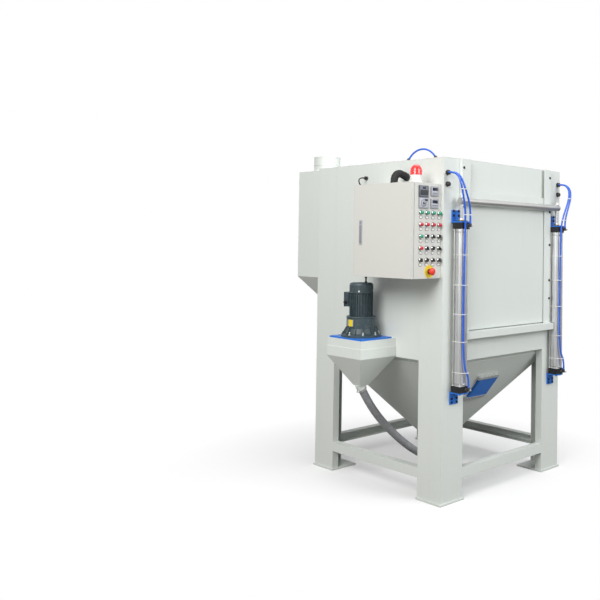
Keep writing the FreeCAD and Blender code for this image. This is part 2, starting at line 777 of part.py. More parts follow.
# Control box on the left wall: housing, door leaf towards -X, and the panel towards -Y
box_x = "-cab_width / 2 - box_out"
node(box("box_shell", box_x + " + box_door + box_seam", "-box_near", "box_low",
         "box_out - box_door - box_seam", "box_long", "box_high"), "control_box")
node(fuse(
    "box_leaf",
    box("box_leaf_plate", box_x, "-box_near", "box_low", "box_door", "box_long", "box_high"),
    box("box_leaf_seal", box_x + " + box_door", "-box_near + box_door", "box_low + box_door",
        "box_seam", "box_long - 2 * box_door", "box_high - 2 * box_door"),
), "control_box_door")

panel_y = "-box_near"
controls = []
for line in range(5):
    for place_in_line in range(4):
        tag = "_%d_%d" % (line + 1, place_in_line + 1)
        spot_x = "%s + button_first_x + %d * button_pitch_x" % (box_x, place_in_line)
        spot_z = "button_top_z - %d * button_pitch_z" % line
        controls.append(fuse(
            "control" + tag,
            rod("control_ring" + tag, spot_x, panel_y, spot_z, "button_radius", "button_base", FORWARD),
            rod("control_head" + tag, spot_x, panel_y, spot_z, "button_radius - 3 * rim_thick / 4",
                "button_high", FORWARD),
        ))
node(group("controls_group", *controls), "panel_controls")
stop_at = "%s + stop_x" % box_x
node(fuse(
    "stop_fused",
    rod("stop_disc", stop_at, panel_y, "stop_z", "stop_plate", "button_base / 4", FORWARD),
    rod("stop_neck", stop_at, panel_y, "stop_z", "button_radius", "stop_reach / 2", FORWARD),
    rod("stop_mushroom", stop_at, panel_y + " - stop_reach / 2", "stop_z", "stop_head", "stop_reach / 2",
        FORWARD),
), "emergency_stop")


def meter(name, from_left, low, wide, high):
    return box(name, "%s + %d" % (box_x, from_left), panel_y + " - button_base", "box_low + %d" % low,
               str(wide), "button_base", str(high))


node(group(
    "meters_group",
    meter("meter_drive", 53, 474, 76, 68), meter("meter_knob", 53, 410, 76, 62),
    meter("meter_top", 152, 484, 62, 58), meter("meter_low", 152, 412, 62, 56),
), "panel_meters")

beacon_x = "%s + beacon_x" % box_x
beacon_z = "box_low + box_high"
node(turned("beacon_foot", [
    ("0", "0"), ("beacon_radius", "0"), ("beacon_radius", "beacon_base_high / 4"),
    ("beacon_radius * 0.88", "beacon_base_high / 3"), ("beacon_radius * 0.92", "beacon_base_high"),
    ("0", "beacon_base_high"),
], beacon_x, "-beacon_y", beacon_z), "beacon_base")
node(turned("beacon_cap", [
    ("0", "0"), ("beacon_radius", "0"), ("beacon_radius * 0.98", "beacon_dome_high * 0.3"),
    ("beacon_radius * 0.88", "beacon_dome_high * 0.62"), ("beacon_radius * 0.64", "beacon_dome_high * 0.86"),
    ("beacon_radius * 0.3", "beacon_dome_high * 0.97"), ("0", "beacon_dome_high"),
], beacon_x, "-beacon_y", beacon_z + " + beacon_base_high"), "beacon_dome")

# Ribbed conduit from the top of the control box into the cabin wall
conduit_x = "-cab_width / 2 - conduit_run"
bend_turn = 106
riser = rod("conduit_riser", conduit_x, "-conduit_y", beacon_z, "conduit_radius", "conduit_rise")
bend = doc.addObject("Part::Torus", "conduit_bend_ring")
bind(bend, "Radius1", "conduit_bend")
bind(bend, "Radius2", "conduit_radius")
bend.Angle3 = bend_turn
place(bend, conduit_x + " + conduit_bend", "-conduit_y", beacon_z + " + conduit_rise",
      Rotation(Vector(1, 0, 0), 90) * Rotation(UP_AXIS, 180 - bend_turn))
dip = bend_turn - 90
fall_x = "conduit_bend * (1 + sin(%d))" % dip
fall_run = "(conduit_run - (%s) + sheet_wall) / cos(%d)" % (fall_x, dip)
cross = rod("conduit_cross", conduit_x + " + " + fall_x, "-conduit_y",
            beacon_z + " + conduit_rise + conduit_bend * cos(%d)" % dip, "conduit_radius", fall_run,
            Rotation(Vector(0, 1, 0), bend_turn))
wall_trim = box("conduit_trim", "-cab_width / 2", "-conduit_y - 2 * conduit_radius", beacon_z,
                "conduit_run", "4 * conduit_radius", "conduit_rise + 4 * conduit_bend")
node(cut("conduit_cut", fuse("conduit_fused", riser, bend, cross), wall_trim), "cable_conduit")

# Separator: a square case with a funnel, carrying a geared motor on a blue gasket
sep_x = "-cab_width / 2 - sep_out / 2"
sep_y = "-sep_mid_y"
sep_left = "-cab_width / 2 - sep_out"
sep_front = "-sep_mid_y - sep_long / 2"
case_low = box("case_low", sep_left, sep_front, "sep_low", "sep_out", "sep_long", "sep_seam_z")
case_top = box("case_top", sep_left + " + rim_thick", sep_front + " + rim_thick", "sep_low",
               "sep_out - rim_thick", "sep_long - 2 * rim_thick", "sep_high")
node(fuse("case_fused", case_low, case_top), "separator_case")
node(funnel("cone_wedge", sep_x, sep_y, "sep_low", "sep_out / 2", "sep_long / 2",
            "sep_cone_end", "sep_cone_end", "sep_low - sep_cone_low"), "separator_cone")
spigot_top = Vector(-S["cab_width"] / 2 - S["sep_out"] / 2, -S["sep_mid_y"], S["sep_cone_low"])
start_way = Vector(*HOSE[1]) - hose_start
start_way.normalize()
spigot_rest = hose_start - start_way * (S["spigot_radius"] * 0.9)
node(cut(
    "cone_spigot",
    stub("cone_stub", spigot_rest - start_way * S["hose_radius"], hose_start, S["spigot_radius"]),
    box("cone_trim", sep_x + " - 4 * spigot_radius", sep_y + " - 4 * spigot_radius", "sep_cone_low",
        "8 * spigot_radius", "8 * spigot_radius", "4 * spigot_radius"),
), "separator_spigot")

gasket_x = "%s - gasket_side / 2 - gasket_shift" % sep_x
case_z = "sep_low + sep_high"
node(box("gasket", gasket_x, sep_y + " - gasket_long / 2", case_z,
         "gasket_side", "gasket_long", "gasket_thick"), "gasket_plate")

motor_x = "-cab_width / 2 - motor_x"
bell_z = case_z + " + gasket_thick"
bell, bell_sketch = body_with_sketch("bell_body", "XZ_Plane")
draw_loop(bell_sketch, [
    ("0", "0"), ("bell_foot", "0"), ("bell_foot", "bell_plate"),
    ("bell_radius + bell_plate", "bell_plate + 2 * rib_thick"), ("bell_radius", "bell_neck_z"),
    ("bell_radius", "bell_high"), ("0", "bell_high"),
])
bell_turn = bell.newObject("PartDesign::Revolution", "bell_turn")
bell_turn.Profile = bell_sketch
bell_turn.ReferenceAxis = (bell_sketch, ["V_Axis"])
bell_turn.Angle = 360
rib_plane = [item for item in bell.Origin.OriginFeatures if item.Role == "XZ_Plane"][0]
rib_sketch = bell.newObject("Sketcher::SketchObject", "rib_sketch")
rib_sketch.AttachmentSupport = [(rib_plane, "")]
rib_sketch.MapMode = "FlatFace"
draw_loop(rib_sketch, [
    ("bell_radius - 2 * bell_plate", "bell_plate / 2"), ("bell_foot - rib_thick", "bell_plate / 2"),
    ("bell_foot - rib_thick", "bell_plate + 2 * rib_thick"), ("bell_radius", "bell_neck_z + 3 * rib_thick"),
    ("bell_radius - 2 * bell_plate", "bell_neck_z + 3 * rib_thick"),
])
rib = bell.newObject("PartDesign::Pad", "rib_pad")
rib.Profile = rib_sketch
rib.SideType = "Symmetric"
bind(rib, "Length", "rib_thick")
ribs = bell.newObject("PartDesign::PolarPattern", "rib_ring")
ribs.Originals = [rib]
ribs.Axis = (bell_sketch, ["V_Axis"])
ribs.Angle = 360
bind(ribs, "Occurrences", "rib_count")
bell.Tip = ribs
node(place(bell, motor_x, sep_y, bell_z), "motor_bell")

frame_body, frame_sketch = body_with_sketch("motor_frame", "XY_Plane")
draw_circle(frame_sketch, "motor_radius")
pad(frame_body, frame_sketch, "motor_high")
fin_plane = [item for item in frame_body.Origin.OriginFeatures if item.Role == "XY_Plane"][0]
fin_sketch = frame_body.newObject("Sketcher::SketchObject", "fin_sketch")
fin_sketch.AttachmentSupport = [(fin_plane, "")]
fin_sketch.MapMode = "FlatFace"
draw_loop(fin_sketch, [
    ("motor_radius / 2", "0"), ("motor_radius + fin_reach", "0"),
    ("motor_radius + fin_reach", "fin_thick"), ("motor_radius / 2", "fin_thick"),
])
fin = frame_body.newObject("PartDesign::Pad", "fin_pad")
fin.Profile = fin_sketch
bind(fin, "Length", "motor_high")
fins = frame_body.newObject("PartDesign::PolarPattern", "fin_ring")
fins.Originals = [fin]
fins.Axis = (fin_sketch, ["N_Axis"])
fins.Angle = 360
bind(fins, "Occurrences", "fin_count")
frame_body.Tip = fins
node(place(frame_body, motor_x, sep_y, bell_z + " + bell_high"), "motor_body")
cowl_z = "%s + bell_high + motor_high" % bell_z
node(turned("cowl", [
    ("0", "0"), ("cowl_radius", "0"), ("cowl_radius", "cowl_high * 0.8"),
    ("cowl_radius * 0.93", "cowl_high"), ("0", "cowl_high"),
], motor_x, sep_y, cowl_z), "motor_cowl")
node(box("terminal", motor_x + " - terminal_wide / 2", sep_y + " + motor_radius + fin_reach",
         cowl_z + " - terminal_high", "terminal_wide", "terminal_out", "terminal_high"), "terminal_box")
lead_y = sep_y + " - cowl_radius * 0.55"
lead_z = cowl_z + " + cowl_high"
lead_long = "box_low - (%s)" % lead_z
node(fuse(
    "lead_fused",
    rod("lead_gland", motor_x, lead_y, lead_z, "2 * cable_radius", "3 * cable_radius"),
    rod("lead_cable", motor_x, lead_y, lead_z, "cable_radius * 1.2", lead_long),
    rod("lead_box_gland", motor_x, lead_y, "box_low - 3 * cable_radius",
        "2 * cable_radius", "3 * cable_radius"),
), "motor_lead")

# Free hoses and tubes, as routes of chosen points measured from the cabin's middle
tube_along("return_hose", HOSE, S["hose_radius"])

front_y = -S["cab_depth"] / 2
elbow_y = -S["cylinder_y"] - S["cap_side"] / 2 - S["valve_reach"] / 2 - S["valve_radius"] / 2
elbow_low = S["cap_low_z"] + S["cap_high"] / 2 + S["socket_rise"]
elbow_top = S["cap_up_z"] + S["cap_high"] / 2 + S["socket_rise"]
# Across as a share of the way to the cylinder, then out from the front, then down from the gland
LOW_HEAD = [
    (0.0, 20, 0), (0.0, 52, 0), (0.02, 86, 16), (0.07, 106, 48),
    (0.19, 113, 92), (0.39, 113, 138), (0.63, 109, 184), (0.84, 104, 231), (0.96, 98, 280),
]
# Sideways bow, then out from the front, then down as a share of the way to the lower elbow
LOW_RUN = [
    (0, 96, 0.067), (-1.2, 95, 0.163), (-2.8, 94, 0.281), (-4, 94, 0.41), (-4.8, 94, 0.55),
    (-4, 94, 0.679), (-2.4, 94, 0.797), (0, 96, 0.883), (4, 100, 0.942),
]
TOP_HEAD = [
    (0.0, 20, 0), (0.0, 52, 0), (0.02, 86, 16), (0.08, 109, 47),
    (0.23, 118, 90), (0.48, 119, 136), (0.76, 115, 184), (0.93, 109, 230),
]
for side, word in ((-1, "left"), (1, "right")):
    gland_at = side * S["gland_x"]
    low_from = gland_at - S["tube_apart"] / 2
    low_to = side * S["cylinder_x"] - 16
    elbow_at = side * S["cylinder_x"] + S["valve_x"]
    low_route = [
        (low_from + (low_to - low_from) * share, front_y - out, S["gland_up_z"] - down)
        for share, out, down in LOW_HEAD
    ]
    run_from = low_route[-1][2]
    low_route += [
        (low_to + bow, front_y - out, run_from + (elbow_low + 56 - run_from) * share)
        for bow, out, share in LOW_RUN
    ]
    low_route += [(elbow_at, elbow_y, elbow_low + 56), (elbow_at, elbow_y, elbow_low)]
    tube_along("air_tube_low_" + word, low_route, S["tube_radius"])
    top_from = gland_at + S["tube_apart"] / 2
    top_route = [
        (top_from + (elbow_at - top_from) * share, front_y - out, S["gland_up_z"] - down)
        for share, out, down in TOP_HEAD
    ]
    top_route += [(elbow_at, elbow_y, elbow_top + 32), (elbow_at, elbow_y, elbow_top)]
    tube_along("air_tube_top_" + word, top_route, S["tube_radius"])

# Loop of tube on the roof, an arc from one slanting gland to the other
roof_lean = math.radians(S["roof_tilt"])
roof_x = -S["rear_half"]
roof_front = -S["roof_mid_y"] - S["roof_span"] / 2 + S["roof_gland_long"] * math.sin(roof_lean)
roof_rear = -S["roof_mid_y"] + S["roof_span"] / 2 - S["roof_gland_long"] * math.sin(roof_lean)
roof_z = S["cab_top"] + S["roof_gland_long"] * math.cos(roof_lean)
roof_half = math.pi / 2 - roof_lean
roof_arc = (roof_rear - roof_front) / 2 / math.sin(roof_half)
roof_step = roof_half / 7
ROOF_TUBE = [(roof_x, roof_rear, roof_z)]
for index in range(7):
    at = roof_half - (2 * index + 1) * roof_step
    reach = roof_arc / math.cos(roof_step)
    ROOF_TUBE.append((
        roof_x,
        -S["roof_mid_y"] + reach * math.sin(at),
        roof_z - roof_arc * math.cos(roof_half) + reach * math.cos(at),
    ))
ROOF_TUBE.append((roof_x, roof_front, roof_z))
tube_along("roof_tube", ROOF_TUBE, S["roof_tube_radius"])
roof_floor = box("roof_gland_floor", "-rear_half - roof_span / 2", "-roof_mid_y - roof_span",
                 "cab_top - roof_gland_long", "roof_span", "2 * roof_span", "roof_gland_long")
for word, way in (("rear", 1), ("front", -1)):
    slanted = rod("roof_gland_" + word, "-rear_half", "-roof_mid_y + %d * roof_span / 2" % way, "cab_top",
                  "2 * roof_tube_radius", "roof_gland_long",
                  Rotation(Vector(1, 0, 0), way * S["roof_tilt"]))
    glands.append(cut("roof_gland_cut_" + word, slanted, roof_floor))
glands.append(rod("wall_gland", "-cab_width / 2 - gland_reach", "wall_gland_y", "gland_up_z",
                  "gland_radius * 0.8", "gland_reach", SIDEWAYS))
node(group("glands_group", *glands), "cable_glands")

# Cable from the wall gland round to the far end of the control box
wall_out = -S["cab_width"] / 2 - S["gland_reach"]
box_end = -S["box_near"] + S["box_long"]
BOX_CABLE = [
    (0, 0, 0), (-30, 0, 0), (-62, -10, -18), (-76, -42, -52), (-78, -84, -84), (-78, -130, -98),
]
cable_route = [
    (wall_out + out, S["wall_gland_y"] + along, S["gland_up_z"] + up) for out, along, up in BOX_CABLE
]
cable_route.append((wall_out - 78, box_end, S["gland_up_z"] - 98))
tube_along("box_cable", cable_route, S["cable_radius"])

doc.recompute()

failed = [item.Name for item in doc.Objects if "Invalid" in item.State or "Error" in item.State]
if failed:
    raise RuntimeError("these objects failed: %s" % ", ".join(failed))
os.makedirs("parts", exist_ok=True)
for item in nodes:
    shape = item.Shape
    if shape.isNull() or not shape.isValid():
        raise RuntimeError("the shape of %s is not valid" % item.Label)
    shape.exportStep(os.path.join("parts", item.Label + ".step"))
print("%d sub-parts written" % len(nodes))
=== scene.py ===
import bmesh
import bpy
import math
from bpy.props import FloatProperty, FloatVectorProperty, IntProperty, PointerProperty
from mathutils import Matrix, Vector
from mathutils.geometry import convex_hull_2d


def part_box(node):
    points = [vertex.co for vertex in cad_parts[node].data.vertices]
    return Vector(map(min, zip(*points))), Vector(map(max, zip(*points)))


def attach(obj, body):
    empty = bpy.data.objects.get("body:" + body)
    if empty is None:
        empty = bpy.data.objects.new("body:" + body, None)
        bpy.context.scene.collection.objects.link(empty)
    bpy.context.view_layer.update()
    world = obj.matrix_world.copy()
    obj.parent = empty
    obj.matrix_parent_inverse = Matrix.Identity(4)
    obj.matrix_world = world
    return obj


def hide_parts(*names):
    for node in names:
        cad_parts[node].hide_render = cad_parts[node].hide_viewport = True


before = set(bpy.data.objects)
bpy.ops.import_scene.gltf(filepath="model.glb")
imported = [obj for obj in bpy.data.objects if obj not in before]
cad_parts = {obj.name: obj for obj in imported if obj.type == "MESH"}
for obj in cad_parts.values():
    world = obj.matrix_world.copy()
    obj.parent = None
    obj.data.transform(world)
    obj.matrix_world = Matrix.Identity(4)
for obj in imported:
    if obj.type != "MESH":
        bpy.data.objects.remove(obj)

bl_info = {
    "name": "Sandblasting cabinet",
    "version": (1, 0, 0),
    "blender": (4, 5, 0),
    "location": "View3D > Sidebar > Cabinet",
    "description": "Dresses a sandblasting cabinet's frame with its paint, hoses, controls and fittings",
    "category": "Add Mesh",
}

LOW = {name: Vector(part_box(name)[0]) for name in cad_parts}
HIGH = {name: Vector(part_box(name)[1]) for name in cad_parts}
# The cabin's middle on the floor; spots, outlines and routes are in millimetres from it
MIDDLE = Vector(((LOW["roof_panel"].x + HIGH["roof_panel"].x) / 2,
                 (LOW["roof_panel"].y + HIGH["roof_panel"].y) / 2, 0))
UP, FRONT, LEFT, REAR = (0, 0, 1), (0, -1, 0), (-1, 0, 0), (0, 1, 0)
SIDES = ((-1, "left"), (1, "right"))


def mm(x, y, z):
    """The place in the scene, in metres, of a spot in millimetres."""
    return MIDDLE + Vector((x, y, z)) / 1000


def edge(name, side, axis):
    """One face of a node's box, in millimetres."""
    return ((LOW if side < 0 else HIGH)[name][axis] - MIDDLE[axis]) * 1000


# Settings shown in the panel


class CabinPaint(bpy.types.PropertyGroup):
    paint: FloatVectorProperty(name="Paint", description="Pale powder coat of the cabin and frame",
                               subtype="COLOR", size=3, default=(0.70, 0.735, 0.705))
    panel_paint: FloatVectorProperty(name="Control box paint", description="Warmer grey of the control box",
                                     subtype="COLOR", size=3, default=(0.66, 0.655, 0.62))
    blue: FloatVectorProperty(name="Blue", description="Blue enamel of brackets, gasket and hatch",
                              subtype="COLOR", size=3, default=(0.012, 0.17, 0.66))
    motor: FloatVectorProperty(name="Motor", description="Dark enamel of the geared motor",
                               subtype="COLOR", size=3, default=(0.035, 0.06, 0.072))
    peel: FloatProperty(name="Orange peel", description="Height of the powder coat's fine ripple",
                        default=0.06, min=0, max=1)
    dust: FloatProperty(name="Dust", description="How much pale grit lies low on the painted sheets",
                        default=0.3, min=0, max=1)


class Lines(bpy.types.PropertyGroup):
    tube: FloatProperty(name="Air tube", description="Outside diameter of the blue air tubes",
                        subtype="DISTANCE", unit="LENGTH", default=0.012, min=0.004, max=0.02)
    hose: FloatProperty(name="Return hose", description="Outside diameter of the grit hose",
                        subtype="DISTANCE", unit="LENGTH", default=0.050, min=0.02, max=0.08)
    coil_pitch: FloatProperty(name="Coil pitch", description="Pitch of the wire in the grit hose",
                              subtype="DISTANCE", unit="LENGTH", default=0.010, min=0.004, max=0.05)
    rib_pitch: FloatProperty(name="Rib pitch", description="Pitch of the conduit's ribs",
                             subtype="DISTANCE", unit="LENGTH", default=0.0062, min=0.002, max=0.02)
    tie_wide: FloatProperty(name="Tie width", description="Width of the cable ties",
                            subtype="DISTANCE", unit="LENGTH", default=0.0042, min=0.002, max=0.01)


class Fixings(bpy.types.PropertyGroup):
    screw: FloatProperty(name="Screw head", description="Radius of the black screws on the door guides",
                         subtype="DISTANCE", unit="LENGTH", default=0.0068, min=0.002, max=0.02)
    bolt: FloatProperty(name="Bolt head", description="Radius across the corners of the brackets' hex bolts",
                        subtype="DISTANCE", unit="LENGTH", default=0.0062, min=0.002, max=0.02)
    seed: IntProperty(name="Seed", description="Turns each fixing to its own angle", default=7)


class StudioStage(bpy.types.PropertyGroup):
    lens: FloatProperty(name="Lens", description="Focal length of the camera in millimetres", default=45.506)
    key: FloatProperty(name="Key light", description="Power of the large soft key light", subtype="POWER",
                       default=385, min=0)
    sky: FloatProperty(name="Sky", description="Strength of the even light from all round", default=0.27, min=0)


# Node trees


class Value:
    """A socket that takes part in sums, so that node maths reads as it is meant."""

    def __init__(self, nodes, socket):
        self.nodes = nodes
        self.socket = socket

    def __add__(self, other):
        return self.nodes.math("ADD", self, other)

    def __mul__(self, other):
        return self.nodes.math("MULTIPLY", self, other)

    __radd__, __rmul__ = __add__, __mul__

    def beside(self, output):
        """Another output of the same node."""
        return Value(self.nodes, self.socket.node.outputs[output])


class Nodes:
    """Fills one node tree."""

    def __init__(self, tree, end):
        tree.nodes.clear()
        self.tree = tree
        self.out = tree.nodes.new(end)

    def plug(self, socket, value):
        if isinstance(value, Value):
            self.tree.links.new(value.socket, socket)
        elif socket.type == "RGBA":
            socket.default_value = (*value[:3], 1)
        elif value is not None:
            socket.default_value = value

    def node(self, kind, inputs, output=0, **settings):
        made = self.tree.nodes.new(kind)
        for key, value in settings.items():
            setattr(made, key, value)
        for key, value in inputs.items():
            self.plug(made.inputs[key], value)
        return Value(self, made.outputs[output])

    def math(self, operation, *values):
        return self.node("ShaderNodeMath", dict(enumerate(values)), operation=operation)

    def end(self, value):
        self.plug(self.out.inputs[0], value)
        return self


class Shade(Nodes):
    """Builds one material."""

    def __init__(self, name):
        self.material = bpy.data.materials.new(name)
        self.material.use_nodes = True
        super().__init__(self.material.node_tree, "ShaderNodeOutputMaterial")
        self.surface = self.node("ShaderNodeBsdfPrincipled", {})
        self.end(self.surface)
        self.place = self.node("ShaderNodeTexCoord", {}, "Object")

    def noise(self, scale, detail=3.0, rough=0.5, place=None):
        return self.node("ShaderNodeTexNoise", {"Vector": place or self.place, "Scale": scale,
                                                "Detail": detail, "Roughness": rough})

    def stretched(self, *scales):
        return self.node("ShaderNodeMapping", {"Vector": self.place, "Scale": scales})

    def spread(self, value, low, high, to_low=0.0, to_high=1.0):
        return self.node("ShaderNodeMapRange", {0: value, 1: low, 2: high, 3: to_low, 4: to_high}, clamp=True)

    def mix(self, share, first, second):
        return self.node("ShaderNodeMix", {0: share, 6: first, 7: second}, 2, data_type="RGBA")

    def bump(self, height, strength, distance, normal=None):
        return self.node("ShaderNodeBump", {"Height": height, "Strength": strength, "Distance": distance,
                                            "Normal": normal})

    def eased(self, radius):
        return self.node("ShaderNodeBevel", {"Radius": radius}, samples=4)

    def done(self, **inputs):
        for key, value in inputs.items():
            self.plug(self.surface.socket.node.inputs[key.replace("_", " ")], value)
        return self.material


def tint(colour, factor):
    return tuple(min(1.0, part * factor) for part in colour)


def powder_coat(name, colour, rough=0.42, grime=1.0, edge=0.0022, tone=1.0):
    """Powder coat on sheet: fine ripple, cloudy tone, faint rubs, and grit that settles low down."""
    skin = bpy.context.scene.cabin_paint
    # A tone below 1 darkens the paint as painted shade; the hopper's coat uses it
    colour = tint(colour, tone)
    shade = Shade(name)
    cloud = shade.noise(1.7, 4, 0.55)
    rub = shade.spread(shade.noise(9, 6, 0.7), 0.60, 0.74)
    streak = shade.spread(shade.noise(1, 5, 0.6, shade.stretched(22, 22, 1.3)), 0.52, 0.78)
    low = shade.spread(shade.node("ShaderNodeSeparateXYZ", {0: shade.place}, "Z"), 0.0, 0.75, 1.0, 0.0)
    settled = low * shade.noise(28, 5, 0.7) * skin.dust * grime + streak * 0.10 * grime
    grit = shade.node("ShaderNodeClamp", {0: settled})
    base = shade.mix(cloud * 0.35, tint(colour, 0.965), tint(colour, 1.03))
    base = shade.mix(rub * 0.10, base, tint(colour, 0.86))
    base = shade.mix(grit * 0.5, base, (0.42, 0.41, 0.36))
    normal = shade.bump(shade.noise(420, 2, 0.5), skin.peel, 0.0006, shade.eased(edge))
    normal = shade.bump(shade.noise(3.1, 2, 0.4), 0.10, 0.004, normal)
    return shade.done(Base_Color=base, Roughness=rough + cloud * 0.08 + rub * 0.10 + grit * 0.12,
                      Normal=normal, Specular_IOR_Level=0.45)


def enamel(name, colour):
    """Thick gloss enamel with small chips."""
    shade = Shade(name)
    cloud = shade.noise(14, 3, 0.5)
    chip = shade.spread(shade.noise(120, 6, 0.75), 0.70, 0.72)
    base = shade.mix(cloud * 0.4, tint(colour, 0.85), tint(colour, 1.12))
    base = shade.mix(chip * 0.5, base, (0.55, 0.55, 0.52))
    normal = shade.bump(shade.noise(380, 2), 0.08, 0.0005, shade.eased(0.0012))
    return shade.done(Base_Color=base, Roughness=0.3 + cloud * 0.12 + chip * 0.2, Normal=normal)


def cast_paint(name, colour):
    """Motor enamel over a sand casting, with grit lying on its ribs."""
    shade = Shade(name)
    grain = shade.noise(260, 5, 0.65)
    cloud = shade.noise(18, 4, 0.6)
    dust = shade.spread(shade.noise(46, 6, 0.7), 0.5, 0.8)
    base = shade.mix(cloud * 0.5, tint(colour, 0.75), tint(colour, 1.35))
    base = shade.mix(dust * 0.16, base, (0.40, 0.40, 0.37))
    normal = shade.bump(grain, 0.25, 0.0008, shade.eased(0.0015))
    return shade.done(Base_Color=base, Roughness=0.42 + grain * 0.14, Normal=normal)


def brushed(name, colour, rough, along="Z", lines=0.18):
    """Drawn or brushed metal whose fine lines run along one axis."""
    shade = Shade(name)
    grain = shade.noise(1, 4, 0.6, shade.stretched(*(6 if axis == along else 500 for axis in "XYZ")))
    haze = shade.noise(11, 4, 0.6)
    spots = shade.spread(shade.noise(70, 6, 0.75), 0.64, 0.75)
    base = shade.mix(haze * 0.45, tint(colour, 0.84), tint(colour, 1.06))
    base = shade.mix(spots * 0.18, base, tint(colour, 0.62))
    return shade.done(Base_Color=base, Metallic=1.0, Roughness=rough + grain * lines + haze * 0.08,
                      Normal=shade.bump(grain, 0.12, 0.0004))


def galvanised(name, greys):
    """Hot zinc: flat crystal patches, each a slightly different grey."""
    shade = Shade(name)
    cell = shade.node("ShaderNodeTexVoronoi", {"Vector": shade.place, "Scale": 110}, "Color")
    grey = shade.node("ShaderNodeRGBToBW", {0: cell})
    return shade.done(Base_Color=shade.mix(grey, *greys), Metallic=0.75, Roughness=0.34 + grey * 0.18,
                      Normal=shade.bump(shade.noise(300, 3), 0.08, 0.0004, shade.eased(0.001)))


def moulded(name, colour, rough=0.42, grain=0.14, scale=700, coat=0.0, metallic=0.0):
    """Moulded plastic or rubber with a fine texture."""
    shade = Shade(name)
    fine = shade.noise(scale, 3, 0.6)
    cloud = shade.noise(24, 3, 0.5)
    base = shade.mix(cloud * 0.5, tint(colour, 0.86), tint(colour, 1.10))
    return shade.done(Base_Color=base, Roughness=rough + fine * 0.10 + cloud * 0.06, Metallic=metallic,
                      Normal=shade.bump(fine, grain, 0.0003, shade.eased(0.0008)), Coat_Weight=coat)


def lens_plastic(name, reds):
    """Red beacon lens: clear coat over fluted plastic, with a faint red emission that paints the light the lens
    lets through as a glow.
    """
    shade = Shade(name)
    flute = shade.node("ShaderNodeTexWave", {"Vector": shade.place, "Scale": 55, "Distortion": 0},
                       wave_type="BANDS", bands_direction="Z")
    # Painted glow: the faint red emission lights the lens though no lamp is in it
    return shade.done(Base_Color=shade.mix(shade.noise(20, 2) * 0.5, *reds), Roughness=0.12 + flute * 0.05,
                      Coat_Weight=0.6, Emission_Color=(0.75, 0.01, 0.01), Emission_Strength=0.18,
                      Normal=shade.bump(flute, 0.15, 0.0006))


def hose_plastic(name, greys):
    """Clear grit hose gone grey: the wall is milky with darker lines where grit lies along it."""
    shade = Shade(name)
    stain = shade.noise(16, 5, 0.6)
    line = shade.spread(shade.noise(1, 4, 0.55, shade.stretched(9, 60, 9)), 0.42, 0.66)
    base = shade.mix(line * 0.45, shade.mix(stain, *greys), (0.10, 0.095, 0.11))
    return shade.done(Base_Color=base, Roughness=0.20 + stain * 0.15, Coat_Weight=0.35,
                      Normal=shade.bump(stain, 0.1, 0.0008))


def tube_plastic(name, blues):
    """Smooth air tube, slightly cloudy."""
    shade = Shade(name)
    cloud = shade.noise(30, 3)
    return shade.done(Base_Color=shade.mix(cloud, *blues), Roughness=0.26 + cloud * 0.10, Coat_Weight=0.25,
                      Normal=shade.bump(shade.noise(500, 2), 0.05, 0.0002))


def floor_paint(name, colour):
    """Pale floor that takes the shadow and runs out to plain white for the camera."""
    shade = Shade(name)
    mark = shade.noise(0.8, 2)
    seen = shade.node("ShaderNodeLightPath", {}, "Is Camera Ray")
    pale = shade.mix(mark * 0.3, (0.90, 0.90, 0.90), (0.93, 0.93, 0.93))
    shade.done(Base_Color=shade.mix(seen, colour, pale), Roughness=0.75)
    away = shade.node("ShaderNodeVectorMath", {0: shade.place}, "Value", operation="LENGTH")
    plain = shade.node("ShaderNodeEmission", {"Color": (1, 1, 1), "Strength": 1.0})
    share = shade.spread(away, 0.6, 1.7) * 0.72 + 0.28
    shade.end(shade.node("ShaderNodeMixShader", {0: share * seen, 1: shade.surface, 2: plain}))
    return shade.material


GLOSS = {"rough": 0.26, "grain": 0.05, "scale": 500, "coat": 0.3}
